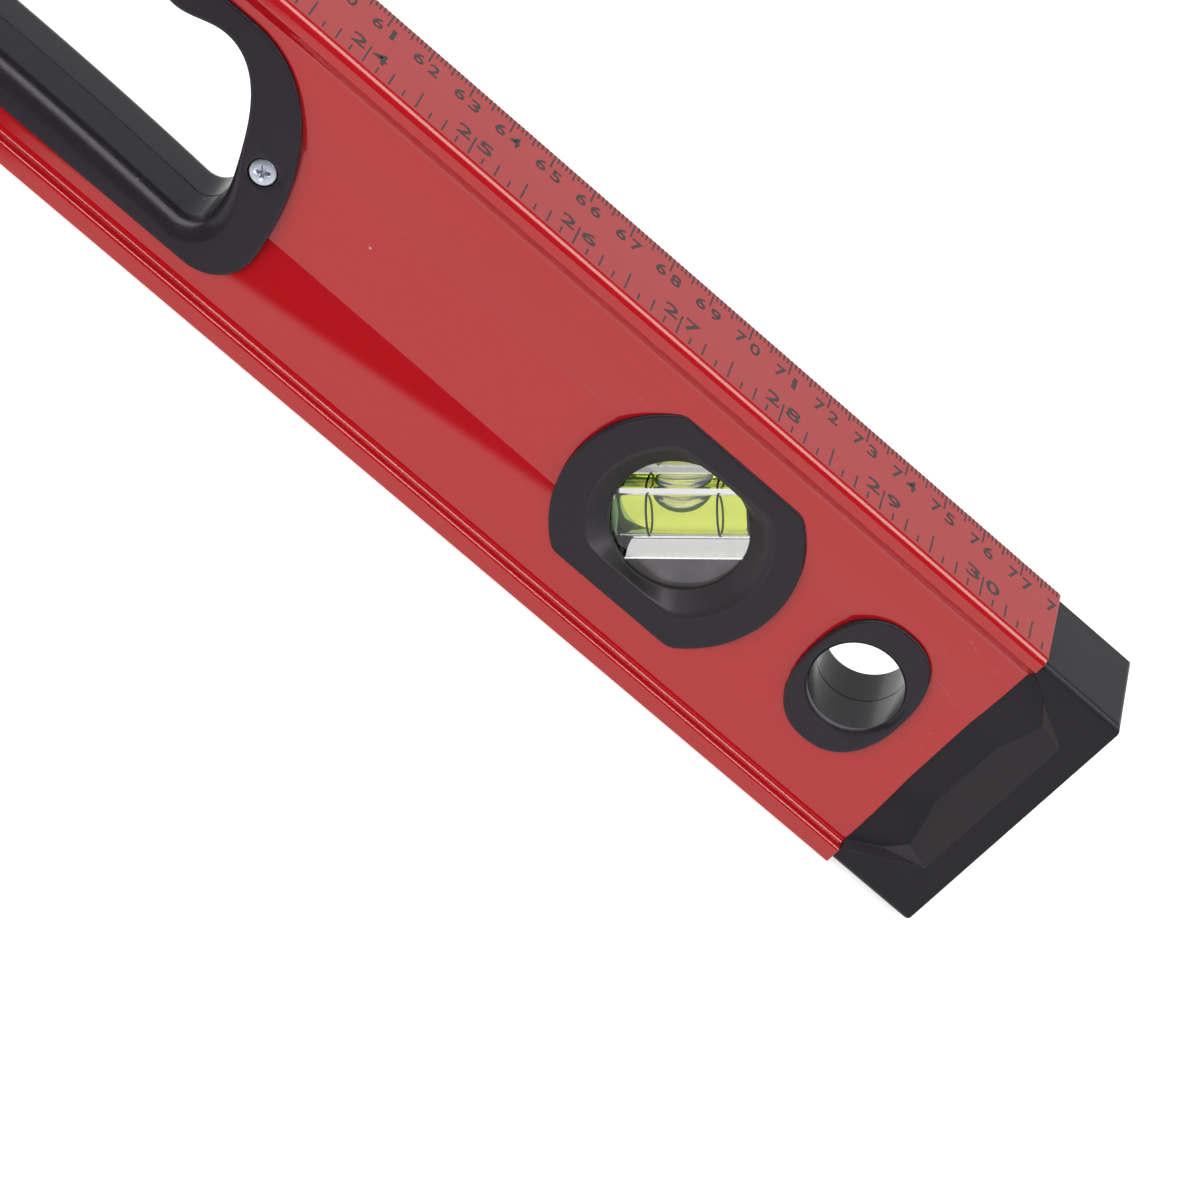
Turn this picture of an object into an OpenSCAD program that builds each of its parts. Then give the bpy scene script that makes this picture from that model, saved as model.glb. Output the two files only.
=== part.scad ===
// Magnetic spirit level, 800 mm: a painted aluminium box section with moulded
// hand grips, three vials, two hang holes, end caps and magnets in the base.
// X runs along the level, the front looks along -Y and Z is up from the base.

/* [Box section] */
// Length of the level over its end caps
level_l = 800; // [720:10:1200]
// Height of the box section
body_h = 63.3; // [62:0.1:72]
// Thickness of the box section over its rails
body_t = 29; // [28.4:0.1:34]
// Wall of the sunk faces
wall = 1.8; // [1.2:0.1:2.2]
// Thickness of the base below the cavity
base_t = 3; // [2.4:0.1:4]
// Thickness of the top above the cavity
top_t = 2.6; // [2:0.1:4]
// Height of the lower rail
rail_low = 3.9; // [3.4:0.1:4.5]
// Height of the upper rail
rail_high = 3.7; // [3:0.1:4.3]
// Radius of the fillet between the lower rail and the face
step_low = 2.2; // [1.6:0.1:2.6]
// Height of the slope under the upper rail
step_high = 2.4; // [1.8:0.1:2.8]
// How far a face sinks behind the rails next to them
face_edge = 3; // [2.8:0.1:3.4]
// How far the middle band of a face sinks
face_mid = 4.7; // [4:0.1:5]
// Height of the sunk middle band
band_h = 18; // [12:1:22]
// Radius of the long edges at the top
top_r = 2; // [1:0.1:2.5]
// Radius of the long edges at the base
base_r = 0.5; // [0.3:0.1:0.9]

/* [End caps] */
// Length of an end cap outside the box section
cap_l = 20; // [18:0.5:26]
// How far a cap stays behind the rails on each side
cap_in = 0.6; // [0.3:0.1:0.9]
// How far a cap stays above the base and below the top
cap_short = 0.9; // [0.4:0.1:1.2]
// Radius of the edges of a cap
cap_r = 1.5; // [0.8:0.1:2]
// Length of the finger pocket in a cap's side at the rail level
pocket_l = 14.4; // [12:0.2:15.5]
// Length of the ramp at the end of the pocket
ramp_l = 8.2; // [5:0.2:9]
// Height of the slope at the pocket's two ends
pocket_rise = 8.6; // [5:0.2:10]
// Length of a cap's plug inside the box section
plug_l = 9; // [6:0.5:10]
// Wall of a cap and of its plug
cap_wall = 2; // [1.4:0.1:2.6]

/* [Hand grips] */
// Distance from the level's end to the middle of a grip
grip_from_end = 243.3; // [236:0.1:260]
// Length of a grip's flange
grip_l = 125; // [122:0.5:132]
// Distance from a grip's flange to the rail steps above and below it
grip_margin = 2.1; // [1.8:0.1:2.8]
// How far a grip's flange stays behind the rails
grip_set = 2; // [1.6:0.1:2.3]
// Width of the flange at each end of the hand hole
grip_end_w = 11.5; // [11:0.1:13]
// Height of the flange below the hand hole
grip_bar_low = 8.8; // [8.4:0.1:10]
// Height of the flange above the finger scallops
grip_bar_high = 5.5; // [5.2:0.1:7]
// Length of one finger scallop
finger_pitch = 20.8; // [19:0.1:21.5]
// Depth of a finger scallop
finger_deep = 2.4; // [1:0.1:3]
// Wall of the hand hole's lining
lining = 2.4; // [1.8:0.1:3]
// Radius of the hand hole's rounded mouth along its lower side
mouth_r = 4; // [2:0.1:5]
// Radius of the hand hole's mouth above the fingers
mouth_r_high = 0.8; // [0.4:0.1:2]

/* [Grip screws] */
// Distance of a grip screw from the end of its grip's flange
screw_from_end = 9.5; // [6.5:0.1:9.8]
// Height of a grip screw above the middle of the face
screw_up = 1.5; // [0:0.1:4]
// Radius of a screw's head
screw_head_r = 2.8; // [2.4:0.1:3]
// Height of a screw's head
screw_head_h = 1.6; // [1.2:0.1:2]
// Radius of a screw's shank
screw_r = 1.6; // [1.2:0.1:1.8]
// Length of a screw below its head
screw_l = 18; // [15:0.5:20]
// Radius of the boss round a screw
boss_r = 3.8; // [3.5:0.1:4]

/* [Vial housings] */
// Distance from the level's end to the middle of an outer vial
vial_from_end = 87; // [84:0.1:95]
// Width of a housing's flange
bezel_w = 49.5; // [48:0.1:52]
// Height of a housing's flange
bezel_h = 39.8; // [39:0.1:42]
// Radius where the flange's flats meet its round sides
bezel_r = 4; // [3:0.1:6]
// How far a housing's flange stays behind the rails
bezel_set = 2.8; // [2.4:0.1:2.9]
// Width of the ledge of the flange on the box section
bezel_ledge = 2.5; // [1.8:0.1:3]
// Width of the recess round the window
recess_w = 34.8; // [32:0.1:37]
// Height of the recess round the window
recess_h = 30.4; // [29:0.1:32]
// Radius of the window
window_r = 13.65; // [12.5:0.05:14]
// Wall round the window and of the housing's skirt
shell = 1.6; // [1.2:0.1:1.8]

/* [Vials] */
// Length of a vial's clear block
block_l = 29; // [28:0.1:31]
// Height of a vial's clear block
block_h = 15; // [13:0.1:15.4]
// Thickness of a vial's clear block
block_t = 14; // [12:0.1:14.4]
// Radius of the liquid's bore
vial_r = 4.5; // [4:0.1:5]
// Length of the liquid's chamber
chamber_l = 25; // [23:0.1:25.6]
// Distance between the two line rings
line_gap = 13.8; // [12.6:0.1:15]
// Width of a line ring
line_w = 0.35; // [0.2:0.05:0.6]
// Thickness of a line ring
line_t = 0.28; // [0.2:0.02:0.4]
// Length of a bubble
bubble_l = 10.7; // [9:0.1:11.6]
// Depth of a bubble at its middle
bubble_deep = 2.7; // [2:0.1:3]

/* [Hang holes] */
// Distance from the level's end to the middle of a hang hole
hang_from_end = 41; // [38:0.1:44]
// Radius of a hang hole
hang_r = 9.3; // [8.6:0.1:9.6]
// Wall of a hang hole's lining
hang_wall = 1.4; // [1:0.1:1.5]
// Width of a bush's oval flange
hang_w = 23.1; // [22.9:0.1:26]
// Height of a bush's oval flange
hang_h = 31.4; // [29:0.1:34]
// Chamfer at a hang hole's mouth
hang_mouth = 0.7; // [0.3:0.1:0.9]

/* [Magnets] */
// Radius of a magnet
magnet_r = 7; // [5:0.1:8]
// Distance from the level's end to an outer magnet
magnet_from_end = 130; // [60:1:160]
// Distance from the middle of the level to an inner magnet
magnet_from_mid = 110; // [40:1:130]

/* [Fits] */
// Clearance between a moulding and the cut in the box section round it
cut_gap = 0.3; // [0.1:0.05:0.4]
// Clearance under a flange that lies on a face
seat_gap = 0.04; // [0.02:0.01:0.1]
// Clearance of a cap's plug in the cavity
plug_gap = 0.12; // [0.05:0.01:0.2]
// Clearance of a clear block in its housing
block_gap = 0.05; // [0.03:0.01:0.1]
// Clearance of the small round pieces in their holes
pin_gap = 0.04; // [0.03:0.01:0.08]
// Clearance of a bubble from the chamber and the liquid
bubble_gap = 0.3; // [0.2:0.05:0.4]

/* [Hidden] */
// Steps of a full circle
$fn = 64;

// Small overrun of a cutter past the face that it cuts
over = 1;
// How far linings, bosses and screw heads stay behind the flange round them
shy = 0.1;

// Half sizes of the level, and the end of the box section
half_t = body_t / 2;
end_x = level_l / 2;
section_end = end_x - cap_l;

// The face between the two rail steps, and its middle
face_low = rail_low + step_low;
face_high = body_h - rail_high - step_high;
mid_z = (face_low + face_high) / 2;
half_face = (face_high - face_low) / 2;
flank = half_face - band_h / 2;
// Steps of the curve from a rail step to the middle band
flank_steps = 7;
// Radius of the rails' edges next to the face
rail_nose = 0.4;

// Places along the level, and turns of the vials
grip_x = end_x - grip_from_end;
side_vial_x = end_x - vial_from_end;
hang_x = end_x - hang_from_end;
magnet_x = end_x - magnet_from_end;
upright = 90;
level = 0;
slanted = 45;

// Distances of outer faces forward of the middle plane
bezel_f = half_t - bezel_set;
grip_f = half_t - grip_set;
block_f = block_t / 2;

// Thickness of the ring that holds a block in from the front, and its rim
window_t = 0.8;
window_rim = 0.3;
window_f = block_f + block_gap + window_t;
// How far past the flange's face the recess reaches its full size
recess_lead = 0.02;
// Power of the recess's and of the bush's rounded box outlines
recess_power = 4;
bush_power = 2.3;
// Smallest radius that the corners of a housing's outlines keep
least_fillet = 0.5;

// Inner corners of the box section
cavity_r = 1.5;

// Grip's flange and hand hole, measured from the middle of the grip
grip_z0 = face_low + grip_margin;
grip_z1 = face_high - grip_margin;
hole_x = grip_l / 2 - grip_end_w;
hole_z0 = grip_z0 + grip_bar_low;
hole_z1 = grip_z1 - grip_bar_high;
// Lower corners of the flange and of the hole
grip_corner = 9.4;
hole_corner = 4.5;
// Length of the long curve at the flange's upper corners
grip_shoulder = 28.5;
// How much lower the hole is at its corners than in the middle
belly = 1.2;
// End of the outermost finger scallop
last_scallop = 1.5 * finger_pitch;
// Steps of the hand hole's rounded mouth
mouth_steps = 6;
// Share of the hand hole's height over which its mouth narrows
mouth_rise = 0.6;

// Grip screws, the shoulders that their heads seat on and their pilot holes
screw_x = grip_l / 2 - screw_from_end;
screw_z = mid_z + screw_up;
screw_seat_f = grip_f - screw_head_h;
head_gap = 0.14;
pilot_spare = 0.6;

// Distances of the finger pocket's edges from the rails and from the section's end
pocket_low = rail_low + 0.3;
pocket_high = body_h - rail_high - 0.1;
pocket_lead = 0.4;
// Thickness of the web that closes a cap's plug, behind the cap's outer face
cap_web = cap_wall + 4;

// A bubble's radius and its lowest point above the vial's axis
bubble_r = vial_r - bubble_gap;
bubble_low = bubble_r - bubble_deep;

// How far a magnet stays above the base
magnet_up = 0.1;

// Points of a circular arc, from step i0 to step n
function arc(c, r, a0, a1, n, i0 = 0) =
    [for (i = [i0:n]) c + r * [cos(a0 + (a1 - a0) * i / n), sin(a0 + (a1 - a0) * i / n)]];

// Points of a cubic curve through four control points, from step i0 to step n
function curve(a, b, c, d, n, i0 = 0) =
    [for (i = [i0:n]) let (t = i / n, s = 1 - t)
        s * s * s * a + 3 * s * s * t * b + 3 * s * t * t * c + t * t * t * d];

// A right half, listed from the bottom to the top, with its mirror image
function both_sides(half) =
    concat(half, [for (i = [len(half) - 1:-1:0]) [-half[i].x, half[i].y]]);

// An outline that runs against the clock, moved outwards by d, a number or one a point
function grown(outline, d) =
    let (n = len(outline))
    [for (i = [0:n - 1])
        let (along = outline[(i + 1) % n] - outline[(i + n - 1) % n], long = norm(along))
        outline[i] + (is_list(d) ? d[i] : d) * [along.y, -along.x] / long];

// Depth of a face behind the rails at height z
function dip(z) =
    let (u = abs(z - mid_z))
    u <= band_h / 2 ? face_mid
        : face_edge + (face_mid - face_edge) * pow(max(0, half_face - u) / flank, 2);

// One side of the box section's outline; proud moves its face outwards
function section_side(proud) = concat(
    arc([half_t - base_r, base_r], base_r, -90, 0, 3),
    arc([half_t - rail_nose, rail_low - rail_nose], rail_nose, 0, 90, 3),
    arc([half_t - face_edge + step_low + proud, face_low], step_low, -90, -180, 5),
    [for (i = [1:flank_steps]) let (z = face_low + flank * i / flank_steps)
        [half_t - dip(z) + proud, z]],
    [for (i = [flank_steps:-1:0]) let (z = face_high - flank * i / flank_steps)
        [half_t - dip(z) + proud, z]],
    arc([half_t - rail_nose, body_h - rail_high + rail_nose], rail_nose, -60, 0, 2),
    arc([half_t - top_r, body_h - top_r], top_r, 0, 90, 6)
);

// One side of the cavity's outline, drawn in by gap
function cavity_half(gap) =
    let (
        edge = half_t - face_edge - wall - gap,
        low = base_t + gap,
        high = body_h - top_t - gap
    )
    concat(
        arc([edge - cavity_r, low + cavity_r], cavity_r, -90, 0, 4),
        [for (i = [1:flank_steps]) let (z = face_low + flank * i / flank_steps)
            [half_t - dip(z) - wall - gap, z]],
        [for (i = [flank_steps:-1:1]) let (z = face_high - flank * i / flank_steps)
            [half_t - dip(z) - wall - gap, z]],
        arc([edge - cavity_r, high - cavity_r], cavity_r, 0, 90, 4)
    );

// Outline of a housing's flange, moved outwards by d
function bezel(d) =
    let (
        round_r = bezel_w / 2 + d,
        flat = bezel_h / 2 + d,
        fillet = max(least_fillet, bezel_r + d),
        fx = sqrt(pow(round_r - fillet, 2) - pow(flat - fillet, 2)),
        fz = flat - fillet,
        turn = atan2(fz, fx)
    )
    both_sides(concat(
        arc([fx, -fz], fillet, -90, -turn, 6),
        arc([0, 0], round_r, -turn, turn, 18, 1),
        arc([fx, fz], fillet, turn, 90, 6, 1)
    ));

// A rounded box outline of the power p, w wide and h high
function soft_box(w, h, p, n) =
    [for (i = [0:n - 1]) let (a = 360 * i / n, c = cos(a), s = sin(a))
        [w / 2 * sign(c) * pow(abs(c), 2 / p), h / 2 * sign(s) * pow(abs(s), 2 / p)]];

// Outline of a grip's flange
function grip_outline() =
    let (r = grip_l / 2)
    both_sides(concat(
        arc([r - grip_corner, grip_z0 + grip_corner], grip_corner, -90, 0, 6),
        curve(
            [r, grip_z0 + grip_corner],
            [r - 0.9, grip_z0 + grip_corner + (grip_z1 - grip_z0) / 3],
            [r - 0.35 * grip_shoulder, grip_z1],
            [r - grip_shoulder, grip_z1],
            12, 1)
    ));

// Outline of the hand hole, with a belly below and four finger scallops above
function hole_outline() =
    let (
        drop = hole_z1 - hole_z0,
        foot = hole_z0 - belly,
        knee = [hole_x - 2.3, hole_z1 - 0.6 * drop]
    )
    both_sides(concat(
        [for (i = [1:4]) let (u = i / 5)
            [u * (hole_x - hole_corner), hole_z0 - belly * u * u]],
        arc([hole_x - hole_corner, foot + hole_corner], hole_corner, -90, 0, 5),
        curve(
            [hole_x, foot + hole_corner],
            [hole_x, hole_z1 - 0.78 * drop],
            [hole_x - 1.2, hole_z1 - 0.69 * drop],
            knee,
            3, 1),
        curve(
            knee,
            [hole_x - 5.5, hole_z1 - 0.34 * drop],
            [last_scallop + 9.3, hole_z1],
            [last_scallop, hole_z1],
            10, 1),
        [for (i = [1:11]) let (u = last_scallop - finger_pitch * i / 8)
            [u, hole_z1 - finger_deep * (1 - cos(360 * (last_scallop - u) / finger_pitch)) / 2]]
    ));

// An outline in the X-Z plane, extruded forward from f0 to f1
module forward(f0, f1) {
    translate([0, -f0, 0])
        rotate([90, 0, 0])
            linear_extrude(f1 - f0)
                children();
}

// An outline in the Y-Z plane, extruded along X from x0 to x1
module lengthwise(x0, x1) {
    translate([x0, 0, 0])
        rotate([90, 0, 90])
            linear_extrude(x1 - x0)
                children();
}

// The box section's outer form from x0 to x1, with its faces moved out by proud
module section_solid(x0, x1, proud = 0) {
    lengthwise(x0, x1)
        polygon(both_sides(section_side(proud)));
}

// The cavity from x0 to x1, drawn in by gap
module cavity_solid(x0, x1, gap = 0) {
    lengthwise(x0, x1)
        polygon(both_sides(cavity_half(gap)));
}

// A round bar of radius r, forward from f0 to f1
module forward_bar(r, f0, f1) {
    translate([0, -f0, 0])
        rotate([90, 0, 0])
            cylinder(r = r, h = f1 - f0);
}

// Children at both ends of the level, the left one a mirror image
module at_both_ends() {
    children();
    mirror([1, 0, 0])
        children();
}

// Children as they are for the front, and mirrored for the back
module on_side(back) {
    mirror([0, back ? 1 : 0, 0])
        children();
}

// The cut through the box section for a grip's lining and its two bosses
module grip_cut() {
    forward(-half_t, half_t)
        polygon(grown(hole_outline(), lining + cut_gap));
    for (end = [-1, 1])
        translate([end * screw_x, 0, screw_z])
            forward_bar(boss_r + cut_gap, -half_t, half_t);
}

module box_section() {
    color("#b81620")
    difference() {
        section_solid(-section_end, section_end);
        cavity_solid(-section_end - over, section_end + over);
        at_both_ends() {
            translate([grip_x, 0, 0])
                grip_cut();
            translate([side_vial_x, 0, mid_z])
                forward(-half_t, half_t)
                    polygon(bezel(cut_gap - bezel_ledge));
            translate([hang_x, 0, mid_z])
                forward_bar(hang_r + hang_wall + cut_gap / 2, -half_t, half_t);
        }
        translate([0, 0, mid_z])
            forward(-half_t, half_t)
                polygon(bezel(cut_gap - bezel_ledge));
        for (x = [-magnet_x, -magnet_from_mid, magnet_from_mid, magnet_x])
            translate([x, 0, -over])
                cylinder(r = magnet_r + pin_gap, h = base_t + 2 * over);
    }
}

// The finger pocket in the front of a cap: the face's hollow, ended by a ramp
module cap_pocket() {
    intersection() {
        difference() {
            translate([section_end - over, -half_t - over, 0])
                cube([cap_l + over, half_t + over, body_h]);
            section_solid(section_end - 2 * over, end_x + over, -cap_in / 2);
        }
        hull() {
            forward(half_t - cap_in, half_t + over)
                polygon([
                    [section_end - over, pocket_low],
                    [section_end + pocket_lead, pocket_low],
                    [section_end + pocket_l, pocket_low + pocket_rise],
                    [section_end + pocket_l, pocket_high - pocket_rise],
                    [section_end + pocket_lead, pocket_high],
                    [section_end - over, pocket_high]
                ]);
            forward(half_t - face_mid - over, half_t - face_mid - cap_in)
                polygon([
                    [section_end - over, pocket_low + over],
                    [section_end + pocket_l - ramp_l, pocket_low + pocket_rise],
                    [section_end + pocket_l - ramp_l, pocket_high - pocket_rise],
                    [section_end - over, pocket_high - over]
                ]);
        }
    }
}

module end_cap() {
    color("#303236")
    difference() {
        union() {
            intersection() {
                lengthwise(section_end, end_x)
                    polygon(both_sides(concat(
                        arc([half_t - cap_in - cap_r, cap_short + cap_r], cap_r, -90, 0, 6),
                        arc([half_t - cap_in - cap_r, body_h - cap_short - cap_r], cap_r, 0, 90, 6)
                    )));
                forward(-half_t, half_t)
                    polygon(concat(
                        [[section_end - over, body_h], [section_end - over, 0]],
                        arc([end_x - cap_r, cap_short + cap_r], cap_r, -90, 0, 6),
                        arc([end_x - cap_r, body_h - cap_short - cap_r], cap_r, 0, 90, 6)
                    ));
            }
            cavity_solid(section_end - plug_l, section_end + over, plug_gap);
        }
        cap_pocket();
        mirror([0, 1, 0])
            cap_pocket();
        cavity_solid(section_end - plug_l - over, end_x - cap_web, plug_gap + cap_wall);
    }
}

// Radius of the hand hole's mouth at height z, large below and small above
function mouth(z) =
    let (u = min(1, max(0, (z - hole_z0) / (hole_z1 - hole_z0) / mouth_rise)))
    mouth_r + (mouth_r_high - mouth_r) * u * u * (3 - 2 * u);

// The cutter that rounds the mouth of the hand hole on the flange
module mouth_cutter() {
    rim = hole_outline();
    count = len(rim);
    // Its section as shares of the radius: outwards from the hole, and back from the flange
    section = concat(
        [for (i = [0:mouth_steps]) let (a = 90 * i / mouth_steps) [1 - sin(a), 1 - cos(a)]],
        [[-1, 1], [-1, -1], [1, -1]]
    );
    rings = len(section);
    outlines = [for (k = [0:rings - 1])
        grown(rim, [for (p = rim) max(-over, section[k].x * mouth(p.y))])];
    points = [for (k = [0:rings - 1]) for (i = [0:count - 1])
        let (p = outlines[k][i], back = max(-over, section[k].y * mouth(rim[i].y)))
        [p.x, back - grip_f, p.y]];
    faces = [for (k = [0:rings - 1]) for (i = [0:count - 1])
        let (j = (i + 1) % count, m = (k + 1) % rings)
        for (f = [[k * count + i, k * count + j, m * count + i],
                  [k * count + j, m * count + j, m * count + i]]) f];
    polyhedron(points = points, faces = faces, convexity = 8);
}

// The front half of a grip, drawn round the middle of the level
module grip_front_form() {
    difference() {
        union() {
            difference() {
                forward(half_t - face_mid - over, grip_f)
                    polygon(grip_outline());
                section_solid(-grip_l, grip_l, seat_gap);
            }
            forward(0, grip_f - shy)
                polygon(grown(hole_outline(), lining));
            for (end = [-1, 1])
                translate([end * screw_x, 0, screw_z])
                    forward_bar(boss_r, 0, grip_f - shy);
        }
        forward(-over, half_t + over)
            polygon(hole_outline());
        mouth_cutter();
    }
}

module grip_half(side, back) {
    color("#323236")
    translate([side * grip_x, 0, 0])
    on_side(back)
    difference() {
        grip_front_form();
        for (end = [-1, 1])
            translate([end * screw_x, 0, screw_z])
                if (back) {
                    forward_bar(screw_r + pin_gap, -over, screw_l - screw_seat_f + pilot_spare);
                } else {
                    forward_bar(screw_r + pin_gap, -over, half_t);
                    forward_bar(screw_head_r + head_gap, screw_seat_f, half_t + over);
                }
    }
}

module grip_screw(side, end) {
    color("#b4bec8")
    translate([side * grip_x + end * screw_x, 0, screw_z]) {
        forward_bar(screw_head_r, screw_seat_f, grip_f - shy);
        forward_bar(screw_r, screw_seat_f - screw_l, screw_seat_f);
    }
}

// The front half of a housing, round its own middle, with a seat for a block
module housing_form(turn) {
    seat = shell + block_gap;
    difference() {
        union() {
            difference() {
                forward(half_t - face_mid - over, bezel_f)
                    polygon(bezel(0));
                translate([0, 0, -mid_z])
                    section_solid(-bezel_w, bezel_w, seat_gap);
            }
            forward(0, bezel_f - shy)
                polygon(bezel(-bezel_ledge));
        }
        // The recess that leads in to the window and leaves a narrow rim round it
        hull() {
            forward(bezel_f + recess_lead, bezel_f + over)
                polygon(soft_box(recess_w, recess_h, recess_power, 40));
            forward_bar(window_r + window_rim, window_f, window_f + shy, $fn = 40);
        }
        forward_bar(window_r, -over, window_f + over / 2);
        // The hollow between the skirt and the window's wall
        difference() {
            forward(-over, window_f - window_t - shell)
                polygon(bezel(-bezel_ledge - shell));
            forward_bar(window_r + shell, -over, half_t);
            rotate([0, -turn, 0])
                cube([block_l + 2 * seat, body_t, block_h + 2 * seat], center = true);
        }
        rotate([0, -turn, 0])
            cube([block_l + 2 * block_gap, 2 * (block_f + block_gap), block_h + 2 * block_gap],
                center = true);
    }
}

module housing_half(x, turn, back) {
    color("#2e2e32")
    translate([x, 0, mid_z])
        on_side(back)
            housing_form(turn);
}

// Children in a vial's own frame, its axis along X and its bubble side up
module in_vial(x, turn) {
    translate([x, 0, mid_z])
        rotate([0, -turn, 0])
            children();
}

// A round bar of radius r along X from x0 to x1
module axial_bar(r, x0, x1) {
    translate([x0, 0, 0])
        rotate([0, 90, 0])
            cylinder(r = r, h = x1 - x0);
}

module vial_block(x, turn) {
    color("#dff0e8", 0.4)
    in_vial(x, turn)
    difference() {
        cube([block_l, block_t, block_h], center = true);
        axial_bar(vial_r, -chamber_l / 2, block_l / 2 + over);
        for (end = [-1, 1])
            axial_bar(vial_r + line_t + pin_gap,
                end * line_gap / 2 - line_w / 2 - pin_gap,
                end * line_gap / 2 + line_w / 2 + pin_gap);
    }
}

module vial_plug(x, turn) {
    color("#d7e6df")
    in_vial(x, turn)
        axial_bar(vial_r - pin_gap, chamber_l / 2, block_l / 2);
}

module line_rings(x, turn) {
    color("#101410")
    in_vial(x, turn)
        for (end = [-1, 1])
            difference() {
                axial_bar(vial_r + line_t, (end * line_gap - line_w) / 2, (end * line_gap + line_w) / 2);
                axial_bar(vial_r, end * line_gap / 2 - over, end * line_gap / 2 + over);
            }
}

module liquid(x, turn) {
    color("#c8e05a")
    in_vial(x, turn)
    difference() {
        axial_bar(vial_r - pin_gap, pin_gap - chamber_l / 2, chamber_l / 2 - pin_gap);
        translate([-block_l / 2, -block_t / 2, bubble_low - bubble_gap])
            cube([block_l, block_t, block_h]);
    }
}

// A bubble: the top of the bore, cut off by a large ball from above
module bubble(x, turn) {
    ball_r = (pow(bubble_l / 2, 2) + pow(bubble_deep, 2)) / (2 * bubble_deep);
    color("#f2f7e0")
    in_vial(x, turn)
    intersection() {
        axial_bar(bubble_r, -bubble_l / 2, bubble_l / 2);
        translate([0, 0, bubble_low + ball_r])
            sphere(r = ball_r);
    }
}

module hang_bush(side, back) {
    color("#2e2e32")
    translate([side * hang_x, 0, mid_z])
    on_side(back)
    difference() {
        union() {
            difference() {
                forward(half_t - face_mid - over, bezel_f)
                    polygon(soft_box(hang_w, hang_h, bush_power, 60));
                translate([0, 0, -mid_z])
                    section_solid(-hang_w, hang_w, seat_gap);
            }
            forward_bar(hang_r + hang_wall, 0, bezel_f - shy);
        }
        forward_bar(hang_r, -over, half_t);
        translate([0, -bezel_f, 0])
            rotate([90, 0, 0])
                translate([0, 0, -hang_mouth])
                    cylinder(r1 = hang_r, r2 = hang_r + 2 * hang_mouth, h = 2 * hang_mouth);
    }
}

module magnet(x) {
    color("#b9bcc0")
    translate([x, 0, magnet_up])
        cylinder(r = magnet_r, h = base_t - magnet_up);
}

box_section();
mirror([1, 0, 0]) end_cap();  // end_cap_left
end_cap();  // end_cap_right
grip_half(-1, false);  // grip_left_front
grip_half(-1, true);  // grip_left_back
grip_half(1, false);  // grip_right_front
grip_half(1, true);  // grip_right_back
grip_screw(-1, -1);  // grip_screw_left_outer
grip_screw(-1, 1);  // grip_screw_left_inner
grip_screw(1, -1);  // grip_screw_right_inner
grip_screw(1, 1);  // grip_screw_right_outer
housing_half(-side_vial_x, upright, false);  // plumb_housing_front
housing_half(-side_vial_x, upright, true);  // plumb_housing_back
vial_block(-side_vial_x, upright);  // plumb_vial_block
vial_plug(-side_vial_x, upright);  // plumb_vial_plug
line_rings(-side_vial_x, upright);  // plumb_line_rings
liquid(-side_vial_x, upright);  // plumb_liquid
bubble(-side_vial_x, upright);  // plumb_bubble
housing_half(0, level, false);  // level_housing_front
housing_half(0, level, true);  // level_housing_back
vial_block(0, level);  // level_vial_block
vial_plug(0, level);  // level_vial_plug
line_rings(0, level);  // level_line_rings
liquid(0, level);  // level_liquid
bubble(0, level);  // level_bubble
housing_half(side_vial_x, slanted, false);  // angle_housing_front
housing_half(side_vial_x, slanted, true);  // angle_housing_back
vial_block(side_vial_x, slanted);  // angle_vial_block
vial_plug(side_vial_x, slanted);  // angle_vial_plug
line_rings(side_vial_x, slanted);  // angle_line_rings
liquid(side_vial_x, slanted);  // angle_liquid
bubble(side_vial_x, slanted);  // angle_bubble
hang_bush(-1, false);  // hang_bush_left_front
hang_bush(-1, true);  // hang_bush_left_back
hang_bush(1, false);  // hang_bush_right_front
hang_bush(1, true);  // hang_bush_right_back
magnet(-magnet_x);  // magnet_left_outer
magnet(-magnet_from_mid);  // magnet_left_inner
magnet(magnet_from_mid);  // magnet_right_inner
magnet(magnet_x);  // magnet_right_outer
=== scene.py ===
"""Looks of a magnetic spirit level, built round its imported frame.

Sizes in the classes are in millimetres, as on a maker's drawing, and meshes are
made in metres. X runs along the level, the front looks along -Y and Z is up from
the base. A piece's place is in its mesh, and its object stays at the origin.
"""

from __future__ import annotations

import logging
import math
from collections.abc import Iterable, Sequence
from dataclasses import dataclass, field
from enum import Enum
from typing import Protocol

import bmesh
import bpy
import numpy as np
from bpy.types import Material, Mesh, Node, NodeSocket, NodeTree, Object
from mathutils import Matrix, Vector
from mathutils.geometry import tessellate_polygon

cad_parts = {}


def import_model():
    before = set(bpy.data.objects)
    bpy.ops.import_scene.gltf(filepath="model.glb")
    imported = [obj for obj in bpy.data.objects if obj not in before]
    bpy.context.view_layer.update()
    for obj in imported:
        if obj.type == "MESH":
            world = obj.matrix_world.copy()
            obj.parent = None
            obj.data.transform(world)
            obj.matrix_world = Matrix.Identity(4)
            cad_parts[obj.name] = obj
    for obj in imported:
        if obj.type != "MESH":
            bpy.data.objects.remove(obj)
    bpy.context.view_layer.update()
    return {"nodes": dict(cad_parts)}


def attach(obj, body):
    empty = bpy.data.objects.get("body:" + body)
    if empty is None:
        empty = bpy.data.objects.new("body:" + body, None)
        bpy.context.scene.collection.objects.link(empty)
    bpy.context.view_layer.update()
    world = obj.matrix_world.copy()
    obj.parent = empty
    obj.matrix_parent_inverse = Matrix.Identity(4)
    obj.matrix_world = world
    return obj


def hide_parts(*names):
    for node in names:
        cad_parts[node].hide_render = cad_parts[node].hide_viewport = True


LOG = logging.getLogger("spirit_level")
MM = 0.001
ROOT_BODY = "level_body"
Outline = np.ndarray
Colour = tuple[float, float, float, float]


class Side(Enum):
    """Which half of a two-part moulding a piece is."""

    FRONT = 1.0
    BACK = -1.0


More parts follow.
